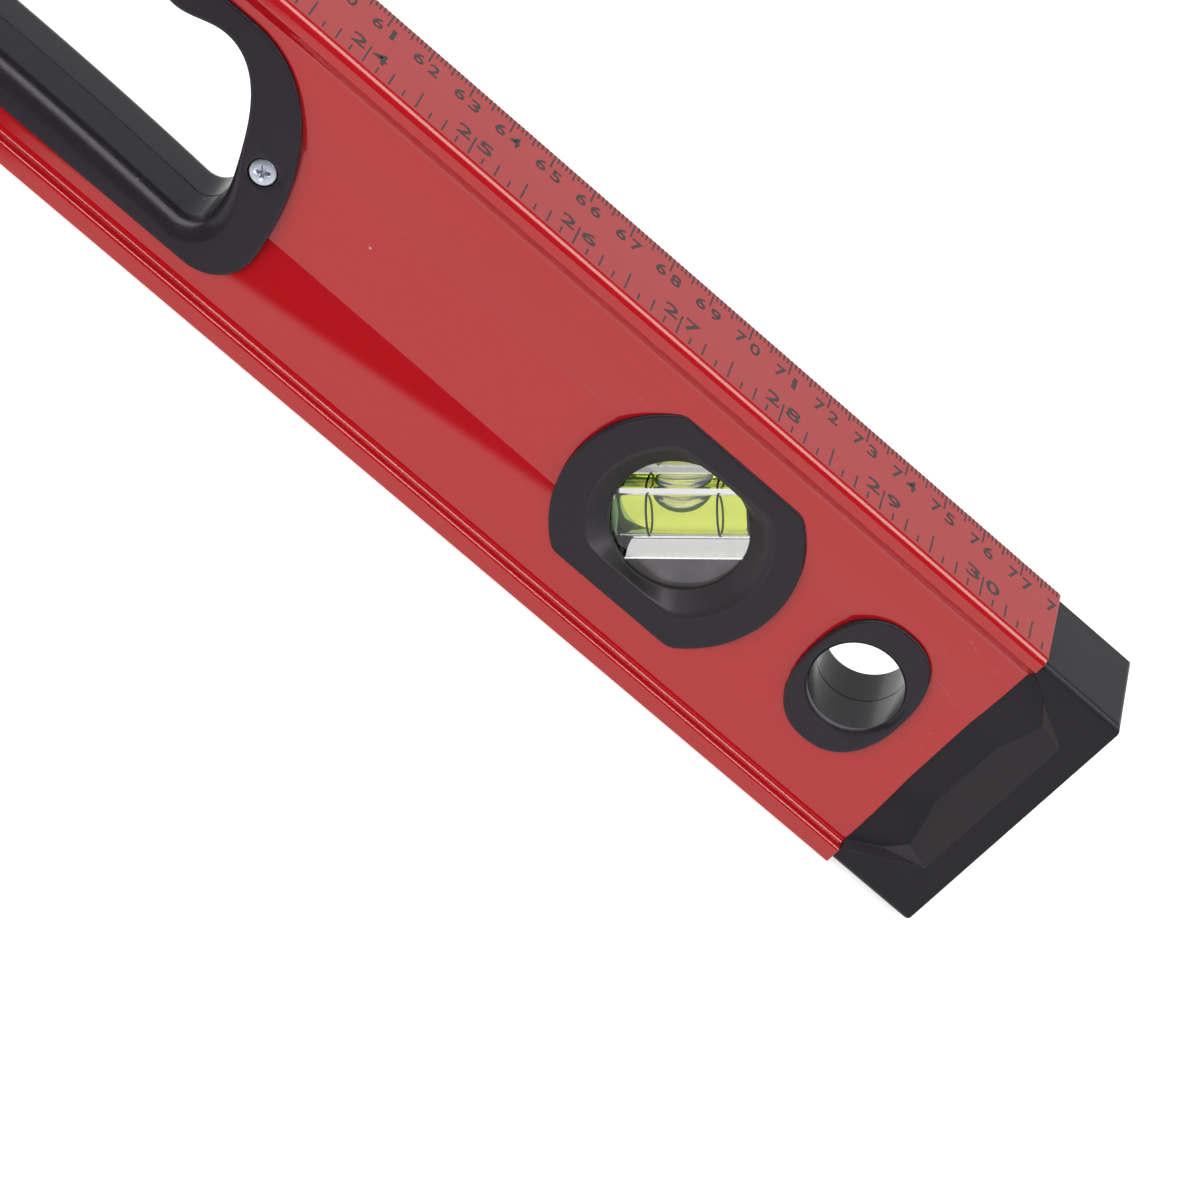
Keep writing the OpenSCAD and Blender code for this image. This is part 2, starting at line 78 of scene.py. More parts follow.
class VialTurn(Enum):
    """How far a vial is turned from lying level, in degrees."""

    LEVEL = 0.0
    SLANTED = 45.0
    UPRIGHT = 90.0


# Outlines, as arrays of points in millimetres


def ways(turn: np.ndarray) -> Outline:
    """Return the directions at the given angles, which are in radians."""
    return np.column_stack([np.cos(turn), np.sin(turn)])


def full_turn(count: int) -> np.ndarray:
    """Return angles in radians that are spread evenly round a circle."""
    return np.linspace(0, 2 * np.pi, count + 1)[:-1]


def arc(
    centre: Sequence[float], radius: float, start: float, end: float, steps: int
) -> Outline:
    """Return the points of a circular arc, both ends included.

    Args:
        centre: Middle of the circle.
        radius: Radius of the circle.
        start: Angle of the first point, in degrees.
        end: Angle of the last point, in degrees.
        steps: Number of steps between the first point and the last.

    Returns:
        The points, one row each.
    """
    turn = np.radians(np.linspace(start, end, steps + 1))
    return np.array(centre) + radius * ways(turn)


def bezier(points: Sequence[Sequence[float]], steps: int) -> Outline:
    """Return the points of a cubic curve, without its first point.

    Args:
        points: The four control points.
        steps: Number of steps along the curve.

    Returns:
        The points, one row each.
    """
    a, b, c, d = (np.array(p, float) for p in points)
    t = np.linspace(0, 1, steps + 1)[1:, None]
    s = 1 - t
    return s**3 * a + 3 * s * s * t * b + 3 * s * t * t * c + t**3 * d


def both_sides(half: Outline) -> Outline:
    """Return a right half, listed from the bottom up, with its mirror image."""
    return np.vstack([half, half[::-1] * [-1, 1]])


def box_outline(half_x: float, half_z: float) -> Outline:
    """Return the four corners of a box outline, against the clock."""
    return np.array([(-1, -1), (1, -1), (1, 1), (-1, 1)]) * [half_x, half_z]


def tidy(outline: Outline, least: float = 1e-4) -> Outline:
    """Return a closed outline without points that repeat the one before."""
    gap = np.linalg.norm(outline - np.roll(outline, 1, axis=0), axis=1)
    return outline[gap > least]


def even(outline: Outline, count: int) -> Outline:
    """Return a closed outline with its points spread evenly along its length.

    Args:
        outline: The closed outline.
        count: Number of points to return.

    Returns:
        The points, the first of which is the outline's own first point.
    """
    closed = np.vstack([outline, outline[:1]])
    run = np.r_[0, np.cumsum(np.linalg.norm(np.diff(closed, axis=0), axis=1))]
    at = np.linspace(0, run[-1], count + 1)[:-1]
    return np.column_stack([np.interp(at, run, closed[:, k]) for k in (0, 1)])


def outward(outline: Outline) -> Outline:
    """Return the outward directions of an outline that runs against the clock."""
    along = np.roll(outline, -1, axis=0) - np.roll(outline, 1, axis=0)
    along /= np.linalg.norm(along, axis=1)[:, None]
    return np.column_stack([along[:, 1], -along[:, 0]])


def grown(outline: Outline, distance: float | np.ndarray) -> Outline:
    """Return an outline moved outwards.

    Args:
        outline: A closed outline that runs against the clock.
        distance: How far to move it, one number or one for each point.

    Returns:
        The moved points.
    """
    return outline + np.reshape(distance, (-1, 1)) * outward(outline)


def soft_box(width: float, height: float, power: float, count: int) -> Outline:
    """Return a rounded box outline of the given power, against the clock."""
    way = ways(full_turn(count))
    return np.array([width / 2, height / 2]) * np.sign(way) * np.abs(way) ** (2 / power)


def circle(radius: float, count: int) -> Outline:
    """Return a round outline, against the clock."""
    return arc((0, 0), radius, 0, 360, count)[:-1]


def at_x(outline: Outline, x: float) -> np.ndarray:
    """Return an outline of the Y-Z plane as points at x."""
    return np.insert(outline, 0, x, axis=1)


def at_y(outline: Outline, y: float | np.ndarray) -> np.ndarray:
    """Return an outline of the X-Z plane as points at y, one number or many."""
    return np.insert(outline, 1, y, axis=1)


def at_z(outline: Outline, z: float) -> np.ndarray:
    """Return an outline of the X-Y plane as points at z."""
    return np.insert(outline, 2, z, axis=1)


# Sizes that several pieces share


@dataclass(frozen=True)
class Body:
    """Sizes of the box section and of the places along it, in millimetres."""

    length: float = 800.0
    height: float = 63.3
    thickness: float = 29.0
    cap_length: float = 20.0
    wall: float = 1.8
    base: float = 3.0
    top: float = 2.6
    rail_low: float = 3.9
    rail_high: float = 3.7
    step_low: float = 2.2
    step_high: float = 2.4
    face_edge: float = 3.0
    face_mid: float = 4.7
    band: float = 18.0
    top_radius: float = 1.7
    base_radius: float = 0.5
    rail_nose: float = 0.65
    step_soft: float = 0.8
    cavity_radius: float = 1.5
    grip_from_end: float = 243.3
    vial_from_end: float = 87.0
    hang_from_end: float = 41.0
    magnet_from_end: float = 130.0
    magnet_from_mid: float = 110.0

    @property
    def half_t(self) -> float:
        """Half of the thickness over the rails."""
        return self.thickness / 2

    @property
    def end_x(self) -> float:
        """Distance from the middle to the end of a cap."""
        return self.length / 2

    @property
    def section_end(self) -> float:
        """Distance from the middle to the end of the box section."""
        return self.end_x - self.cap_length

    @property
    def grip_x(self) -> float:
        """Distance from the middle to the middle of a hand grip."""
        return self.end_x - self.grip_from_end

    @property
    def vial_x(self) -> float:
        """Distance from the middle to an outer vial."""
        return self.end_x - self.vial_from_end

    @property
    def hang_x(self) -> float:
        """Distance from the middle to a hang hole."""
        return self.end_x - self.hang_from_end

    @property
    def magnet_x(self) -> list[float]:
        """Places of the base magnets along the level."""
        outer = self.end_x - self.magnet_from_end
        return [-outer, -self.magnet_from_mid, self.magnet_from_mid, outer]

    @property
    def face_low(self) -> float:
        """Height of the lower edge of the sunk face."""
        return self.rail_low + self.step_low

    @property
    def face_high(self) -> float:
        """Height of the upper edge of the sunk face."""
        return self.height - self.rail_high - self.step_high

    @property
    def mid_z(self) -> float:
        """Height of the middle of the sunk face."""
        return (self.face_low + self.face_high) / 2

    def dip(self, z: float | np.ndarray) -> np.ndarray:
        """Return how deep the face lies behind the rails at height z."""
        half_face = (self.face_high - self.face_low) / 2
        u = np.abs(np.asarray(z, float) - self.mid_z)
        share = np.maximum(0, half_face - u) / (half_face - self.band / 2)
        sunk = self.face_edge + (self.face_mid - self.face_edge) * share**2
        return np.where(u <= self.band / 2, self.face_mid, sunk)


BODY = Body()


# Meshes


@dataclass
class Shell:
    """A closed skin that is built from rings of points, in millimetres."""

    points: list[tuple[float, float, float]] = field(default_factory=list)
    faces: list[tuple[int, ...]] = field(default_factory=list)
    tones: list[int] = field(default_factory=list)

    def ring(self, points: np.ndarray) -> list[int]:
        """Add a closed ring of points and return their numbers."""
        start = len(self.points)
        self.points.extend(tuple(map(float, p)) for p in points)
        return list(range(start, len(self.points)))

    def loft(self, first: list[int], second: list[int], tone: int = 0) -> None:
        """Join two rings of the same count with a band of faces."""
        count = len(first)
        for i in range(count):
            j = (i + 1) % count
            self.faces.append((first[i], first[j], second[j], second[i]))
            self.tones.append(tone)

    def stack(
        self, rings: Iterable[np.ndarray], tone: int = 0, closed: bool = False
    ) -> list[list[int]]:
        """Add rings of the same count, each joined to the next.

        Args:
            rings: The rings' points.
            tone: Number of the material.
            closed: Whether the last ring is joined to the first.

        Returns:
            The numbers of each ring's points.
        """
        made = [self.ring(points) for points in rings]
        for first, second in zip(made, made[1:] + made[: int(closed)]):
            self.loft(first, second, tone)
        return made

    def fill(self, loops: Sequence[list[int]], tone: int = 0) -> None:
        """Close a flat region that the first loop bounds and the others pierce."""
        flat = [i for loop in loops for i in loop]
        corners = [[Vector(self.points[i]) for i in loop] for loop in loops]
        for triangle in tessellate_polygon(corners):
            self.faces.append(tuple(flat[k] for k in triangle))
            self.tones.append(tone)

    def solid(self, rings: Iterable[np.ndarray]) -> None:
        """Add rings of the same count as a solid that is closed at both ends."""
        made = self.stack(rings)
        self.fill([made[0]])
        self.fill([made[-1]])

    def build(
        self,
        name: str,
        materials: Sequence[Material],
        crease: float = 34.0,
    ) -> Object:
        """Make the object, its faces turned outwards and its flats kept flat.

        Args:
            name: Name of the piece.
            materials: Materials, in the order of the tones.
            crease: Angle in degrees past which an edge stays sharp.

        Returns:
            The new object, at the origin.
        """
        mesh = bpy.data.meshes.new(name)
        mesh.from_pydata(self.points, [], self.faces)
        for material in materials:
            mesh.materials.append(material)
        mesh.polygons.foreach_set("material_index", self.tones)
        mesh.transform(Matrix.Scale(MM, 4))
        return finish_mesh(name, mesh, crease)


def finish_mesh(name: str, mesh: Mesh, crease: float = 34.0) -> Object:
    """Turn a mesh's faces outwards, shade it smooth and make its object.

    Args:
        name: Name of the piece.
        mesh: The mesh, in metres.
        crease: Angle in degrees past which an edge stays sharp.

    Returns:
        The new object, linked to the scene.
    """
    work = bmesh.new()
    work.from_mesh(mesh)
    bmesh.ops.remove_doubles(work, verts=work.verts, dist=1e-7)
    bmesh.ops.recalc_face_normals(work, faces=work.faces)
    work.to_mesh(mesh)
    work.free()
    mesh.polygons.foreach_set("use_smooth", [True] * len(mesh.polygons))
    mesh.set_sharp_from_angle(angle=math.radians(crease))
    made = bpy.data.objects.new(name, mesh)
    bpy.context.scene.collection.objects.link(made)
    even_out = made.modifiers.new("weighted_normals", "WEIGHTED_NORMAL")
    even_out.keep_sharp = True
    even_out.weight = 60
    return made


def baked(made: Object) -> Mesh:
    """Return the evaluated mesh of an object and take its modifiers off."""
    graph = bpy.context.evaluated_depsgraph_get()
    mesh = bpy.data.meshes.new_from_object(made.evaluated_get(graph))
    made.modifiers.clear()
    return mesh


def at_forward(
    outline: Outline,
    forward: float | np.ndarray,
    side: Side,
    x: float = 0,
    z: float = 0,
) -> np.ndarray:
    """Return an outline of the X-Z plane as points in front of the middle plane.

    Args:
        outline: The outline's points.
        forward: Distance from the middle plane, one number or one for each point.
        side: Whether that distance is to the front or to the back.
        x: Place along the level that the outline is drawn round.
        z: Height that the outline is drawn round.

    Returns:
        The points in three dimensions.
    """
    return at_y(outline + [x, z], -side.value * np.asarray(forward))


def rounded_edge(radius: float, steps: int) -> list[tuple[float, float]]:
    """Return (inset, drop) pairs of a rounded outer edge, from its face down."""
    turn = np.radians(np.linspace(0, 90, steps + 1))
    return [(radius * (1 - math.sin(t)), radius * (1 - math.cos(t))) for t in turn]


def flange_rings(
    outline: Outline, face: float, back: float, edge: float
) -> list[tuple[Outline, float]]:
    """Return a flange's rim.

    Args:
        outline: The flange's outline.
        face: Distance of its face from the middle plane.
        back: Distance of its back from the middle plane.
        edge: Radius of its edge.

    Returns:
        Pairs of an outline and its distance from the middle plane.
    """
    turned = rounded_edge(edge, 4)
    rim = [(grown(outline, -inset), face - drop) for inset, drop in turned]
    return rim + [(outline, back)]


# Node trees


def add_node(
    tree: NodeTree,
    kind: str,
    feeds: dict[str | int, object] | None = None,
    **values: object,
) -> Node:
    """Add a node to a tree.

    Args:
        tree: The tree.
        kind: The node's type.
        feeds: What goes into its inputs, by their names or numbers.
        values: Its plain properties.

    Returns:
        The node.
    """
    made = tree.nodes.new(kind)
    for key, value in values.items():
        setattr(made, key, value)
    for key, value in (feeds or {}).items():
        feed(tree, made.inputs[key], value)
    return made


def feed(tree: NodeTree, socket: NodeSocket, value: object) -> None:
    """Link a socket to another socket, or set it to a plain value."""
    if isinstance(value, NodeSocket):
        tree.links.new(value, socket)
    elif value is not None:
        socket.default_value = value


def maths(
    tree: NodeTree, operation: str, *values: object, clamp: bool = False
) -> NodeSocket:
    """Add a Math node with its inputs and return its output."""
    feeds = dict(enumerate(values))
    made = add_node(tree, "ShaderNodeMath", feeds, operation=operation, use_clamp=clamp)
    return made.outputs[0]


def ramp(
    tree: NodeTree, factor: NodeSocket, stops: Sequence[tuple[float, Colour]]
) -> NodeSocket:
    """Add a Color Ramp with the given stops and return its colour."""
    made = add_node(tree, "ShaderNodeValToRGB", {"Fac": factor})
    elements = made.color_ramp.elements
    while len(elements) < len(stops):
        elements.new(0.5)
    for element, (place, colour) in zip(elements, stops):
        element.position = place
        element.color = colour
    return made.outputs["Color"]


def grey(value: float) -> Colour:
    """Return a grey as a colour."""
    return (value, value, value, 1.0)


def new_group(
    name: str, inputs: dict[str, float], outputs: Sequence[str]
) -> tuple[NodeTree, Node, Node]:
    """Make a shader node group that turns a vector and numbers into numbers.

    Args:
        name: Name of the group.
        inputs: Default of each number that goes in.
        outputs: Names of the numbers that come out.

    Returns:
        The tree, its input node and its output node.
    """
    tree = bpy.data.node_groups.new(name, "ShaderNodeTree")
    face, number = tree.interface, "NodeSocketFloat"
    face.new_socket("Vector", in_out="INPUT", socket_type="NodeSocketVector")
    for label, default in inputs.items():
        made = face.new_socket(label, in_out="INPUT", socket_type=number)
        made.default_value = default
    for label in outputs:
        face.new_socket(label, in_out="OUTPUT", socket_type=number)
    return tree, add_node(tree, "NodeGroupInput"), add_node(tree, "NodeGroupOutput")


def noise(
    tree: NodeTree,
    vector: NodeSocket,
    scale: object,
    detail: float = 2.0,
    rough: float = 0.5,
) -> NodeSocket:
    """Add a Noise Texture and return its factor."""
    feeds = {"Vector": vector, "Scale": scale, "Detail": detail, "Roughness": rough}
    return add_node(tree, "ShaderNodeTexNoise", feeds).outputs["Fac"]


class FinishGroups:
    """The surface effects that several finishes share, each built once."""

    def __init__(self) -> None:
        """Build every group."""
        self.grain = self._grain()
        self.dust = self._dust()
        self.wear = self._wear()

    @staticmethod
    def _grain() -> NodeTree:
        """Build the eroded grain of a mould or the skin of a paint."""
        tree, given, out = new_group(
            "moulding_grain", {"Scale": 2600.0, "Waviness": 0.3}, ["Height", "Patches"]
        )
        vector, scale = given.outputs["Vector"], given.outputs["Scale"]
        fine = noise(tree, vector, scale, 3.0, 0.6)
        broad = noise(tree, vector, maths(tree, "MULTIPLY", scale, 0.03), 2.0)
        wave = maths(tree, "MULTIPLY", broad, given.outputs["Waviness"])
        feed(tree, out.inputs["Height"], maths(tree, "ADD", fine, wave))
        feed(tree, out.inputs["Patches"], broad)
        return tree

    @staticmethod
    def _dust() -> NodeTree:
        """Build sparse pale specks and thin scratches."""
        sizes = {"Speck Scale": 160.0, "Speck Size": 0.06, "Scratch Scale": 30.0}
        tree, given, out = new_group(
            "dust_and_scratches", sizes, ["Specks", "Scratches"]
        )
        vector = given.outputs["Vector"]
        speck_share, scratch_half, scratch_share = 0.86, 0.0014, 0.66
        cells = add_node(
            tree,
            "ShaderNodeTexVoronoi",
            {"Vector": vector, "Scale": given.outputs["Speck Scale"]},
            feature="F1",
        )
        split = add_node(
            tree, "ShaderNodeSeparateColor", {"Color": cells.outputs["Color"]}
        )
        near = maths(
            tree, "LESS_THAN", cells.outputs["Distance"], given.outputs["Speck Size"]
        )
        chosen = maths(tree, "GREATER_THAN", split.outputs["Red"], speck_share)
        feed(tree, out.inputs["Specks"], maths(tree, "MULTIPLY", near, chosen))
        drawn = {"Vector": vector, "Rotation": (0.2, 0.5, 0.35), "Scale": (1, 14, 14)}
        stretch = add_node(tree, "ShaderNodeMapping", drawn).outputs["Vector"]
        lines = noise(tree, stretch, given.outputs["Scratch Scale"], 1.0)
        off = maths(tree, "ABSOLUTE", maths(tree, "SUBTRACT", lines, 0.5))
        thin = maths(tree, "LESS_THAN", off, scratch_half)
        gate = noise(tree, vector, 22.0, 0.0)
        some = maths(tree, "GREATER_THAN", gate, scratch_share)
        feed(tree, out.inputs["Scratches"], maths(tree, "MULTIPLY", thin, some))
        return tree

    @staticmethod
    def _wear() -> NodeTree:
        """Build a mask that is 1 on outer edges, broken up by noise."""
        tree, given, out = new_group(
            "edge_wear", {"Width": 0.0004, "Break Up": 300.0}, ["Mask"]
        )
        around = add_node(
            tree, "ShaderNodeBevel", {"Radius": given.outputs["Width"]}, samples=4
        )
        plain = add_node(tree, "ShaderNodeNewGeometry")
        same = add_node(
            tree,
            "ShaderNodeVectorMath",
            {0: around.outputs["Normal"], 1: plain.outputs["Normal"]},
            operation="DOT_PRODUCT",
        )
        turned = maths(tree, "SUBTRACT", 1.0, same.outputs["Value"])
        edge = maths(tree, "MULTIPLY", turned, 5.0, clamp=True)
        patch = noise(tree, given.outputs["Vector"], given.outputs["Break Up"], 3.0)
        feed(tree, out.inputs["Mask"], maths(tree, "MULTIPLY", edge, patch))
        return tree


class MaterialTree:
    """A material that is being built round one Principled BSDF."""

    def __init__(self, name: str) -> None:
        """Start a material with its shader and its Object coordinates."""
        self.material = bpy.data.materials.new(name)
        self.material.use_nodes = True
        self.tree = self.material.node_tree
        self.shader = self.tree.nodes["Principled BSDF"]
        coordinates = add_node(self.tree, "ShaderNodeTexCoord")
        self.vector = coordinates.outputs["Object"]

    def set(self, **values: object) -> None:
        """Set sockets of the shader by name, with _ for a blank."""
        for key, value in values.items():
            feed(self.tree, self.shader.inputs[key.replace("_", " ")], value)

    def group(self, tree: NodeTree, **values: object) -> Node:
        """Place a node group on the Object coordinates with its own values."""
        feeds = {key.replace("_", " "): value for key, value in values.items()}
        feeds["Vector"] = self.vector
        return add_node(self.tree, "ShaderNodeGroup", feeds, node_tree=tree)

    def mix(self, factor: object, first: object, second: object) -> NodeSocket:
        """Mix two colours and return the result."""
        feeds = {"Factor": factor, "A": first, "B": second}
        made = add_node(self.tree, "ShaderNodeMix", feeds, data_type="RGBA")
        return made.outputs["Result"]

    def span(self, value: NodeSocket, low: float, high: float) -> NodeSocket:
        """Spread a factor from 0 to 1 over a range of plain numbers."""
        feeds = {"Value": value, "To Min": low, "To Max": high}
        return add_node(self.tree, "ShaderNodeMapRange", feeds).outputs["Result"]

    def masked(
        self, mask: NodeSocket, share: float, tone: object, other: object
    ) -> NodeSocket:
        """Mix a share of another colour into a tone where a mask is 1."""
        return self.mix(maths(self.tree, "MULTIPLY", mask, share), tone, other)

    def bump(self, height: NodeSocket, distance: float, strength: float = 1.0) -> None:
        """Feed the shader's normal from a height."""
        feeds = {"Strength": strength, "Distance": distance, "Height": height}
        made = add_node(self.tree, "ShaderNodeBump", feeds)
        feed(self.tree, self.shader.inputs["Normal"], made.outputs["Normal"])


# Finishes


@dataclass(frozen=True)
class GlossPaint:
    """Baked gloss paint on the box section, with specks and hairline scratches."""

    name: str = "red_gloss_paint"
    colour: Colour = (0.475, 0.008, 0.014, 1.0)
    thin_colour: Colour = (0.40, 0.006, 0.012, 1.0)
    speck_colour: Colour = (0.62, 0.42, 0.40, 1.0)
    rubbed_colour: Colour = (0.62, 0.10, 0.10, 1.0)

    def make(self, groups: FinishGroups) -> Material:
        """Return the paint's material."""
        work = MaterialTree(self.name)
        skin = work.group(groups.grain, Scale=420.0, Waviness=1.6)
        dust = work.group(groups.dust, Speck_Scale=115.0, Speck_Size=0.034)
        wear = work.group(groups.wear, Width=0.0003, Break_Up=260.0)
        tone = work.mix(
            work.span(skin.outputs["Patches"], 0.0, 0.35), self.colour, self.thin_colour
        )
        tone = work.masked(wear.outputs["Mask"], 0.22, tone, self.rubbed_colour)
        tone = work.masked(dust.outputs["Scratches"], 0.10, tone, self.speck_colour)
        tone = work.masked(dust.outputs["Specks"], 0.55, tone, self.speck_colour)
        rough = work.span(skin.outputs["Patches"], 0.035, 0.055)
        work.set(Base_Color=tone, Roughness=rough, IOR=1.5)
        work.set(Specular_Tint=(1.0, 0.95, 0.86, 1.0))
        work.bump(skin.outputs["Height"], 0.0000035, 0.5)
        return work.material


@dataclass(frozen=True)
class MouldedPlastic:
    """Black moulded plastic with the eroded grain of its mould."""

    name: str
    colour: Colour
    pale_colour: Colour
    grain_scale: float = 3200.0
    grain_depth: float = 0.00002
    rough_low: float = 0.19
    rough_high: float = 0.27
    dust: float = 0.35
    mirror: float = 0.21
    rubbed_colour: Colour = (0.09, 0.09, 0.095, 1.0)
    dust_colour: Colour = (0.30, 0.29, 0.28, 1.0)

    def make(self, groups: FinishGroups) -> Material:
        """Return the plastic's material."""
        work = MaterialTree(self.name)
        grain = work.group(groups.grain, Scale=self.grain_scale, Waviness=0.4)
        dust = work.group(groups.dust, Speck_Scale=170.0, Speck_Size=0.05)
        wear = work.group(groups.wear, Width=0.0004, Break_Up=420.0)
        # Paler patches at random; in the polished cradle finish the pale tone is a
        # painted reflection.
        patches = work.span(grain.outputs["Patches"], 0.0, 0.6)
        tone = work.mix(patches, self.colour, self.pale_colour)
        tone = work.masked(wear.outputs["Mask"], 0.5, tone, self.rubbed_colour)
        tone = work.masked(dust.outputs["Specks"], self.dust, tone, self.dust_colour)
        rough = work.span(grain.outputs["Patches"], self.rough_low, self.rough_high)
        work.set(Base_Color=tone, Roughness=rough, IOR=1.5)
        work.set(Specular_IOR_Level=self.mirror, Specular_Tint=(0.98, 0.90, 1.0, 1.0))
        work.bump(grain.outputs["Height"], self.grain_depth, 0.6)
        return work.material


@dataclass(frozen=True)
class PlatedMetal:
    """Bright plated metal with a fine brushed or tumbled skin."""

    name: str
    colour: Colour
    dull_colour: Colour
    rough_low: float
    rough_high: float
    grain_scale: float = 2400.0
    grain_depth: float = 0.000008
    rubbed_colour: Colour = (0.85, 0.86, 0.88, 1.0)

    def make(self, groups: FinishGroups) -> Material:
        """Return the metal's material."""
        work = MaterialTree(self.name)
        grain = work.group(groups.grain, Scale=self.grain_scale, Waviness=0.8)
        wear = work.group(groups.wear, Width=0.0002, Break_Up=900.0)
        tone = work.mix(
            work.span(grain.outputs["Patches"], 0.0, 1.0), self.colour, self.dull_colour
        )
        rough = work.span(grain.outputs["Height"], self.rough_low, self.rough_high)
        tone = work.mix(wear.outputs["Mask"], tone, self.rubbed_colour)
        work.set(Base_Color=tone, Metallic=1.0, Roughness=rough)
        work.bump(grain.outputs["Height"], self.grain_depth, 0.4)
        return work.material


@dataclass(frozen=True)
class ClearBody:
    """A clear body: acrylic, the vial's liquid or the gas of its bubble, with a painted
    glow where one is set.
    """

    name: str
    colour: Colour
    ior: float
    roughness: float = 0.0
    # The glow is painted light; with glow_fades it is bright where the surface faces
    # the view and fades to nothing towards its rims.
    glow: Colour = (0.0, 0.0, 0.0, 1.0)
    glow_strength: float = 0.0
    glow_fades: bool = False
    grain_depth: float = 0.0

    def make(self, groups: FinishGroups) -> Material:
        """Return the clear material."""
        work = MaterialTree(self.name)
        grain = work.group(groups.grain, Scale=300.0, Waviness=0.5)
        pale = tuple(min(1.0, 1.02 * c) for c in self.colour[:3]) + (1.0,)
        tone = work.mix(grain.outputs["Patches"], self.colour, pale)
        work.set(Base_Color=tone, Roughness=self.roughness, IOR=self.ior)
        work.set(Transmission_Weight=1.0)
        # Painted glow: emission on a body that is no lamp, faded by Layer Weight into a
        # painted sheen where asked.
        if self.glow_strength:
            glow = self.glow
            if self.glow_fades:
                weight = add_node(work.tree, "ShaderNodeLayerWeight", {"Blend": 0.5})
                facing = weight.outputs["Facing"]
                rim = maths(work.tree, "MULTIPLY", facing, 2.0, clamp=True)
                glow = work.mix(rim, self.glow, (0.0, 0.0, 0.0, 1.0))
            work.set(Emission_Color=glow, Emission_Strength=self.glow_strength)
        if self.grain_depth:
            work.bump(grain.outputs["Height"], self.grain_depth, 0.5)
        return work.material


@dataclass(frozen=True)
class Print:
    """Ink of the scale or of a vial's line rings; also the bubble's outline, a painted
    shade, and the pale seat under a vial block, whose glow is painted light.
    """

    name: str
    colour: Colour
    worn_colour: Colour
    roughness: float = 0.45
    # glow_strength, where set, is painted light: the ink glows though it is no lamp.
    glow_strength: float = 0.0

    def make(self, groups: FinishGroups) -> Material:
        """Return the ink's material."""
        work = MaterialTree(self.name)
        grain = work.group(groups.grain, Scale=1500.0, Waviness=0.8)
        tone = work.mix(
            work.span(grain.outputs["Height"], 0.0, 0.5), self.colour, self.worn_colour
        )
        work.set(Base_Color=tone, Roughness=self.roughness, IOR=1.5)
        # Painted light: the ink glows in its own colour.
        if self.glow_strength:
            work.set(Emission_Color=tone, Emission_Strength=self.glow_strength)
        work.bump(grain.outputs["Height"], 0.000004, 0.4)
        return work.material


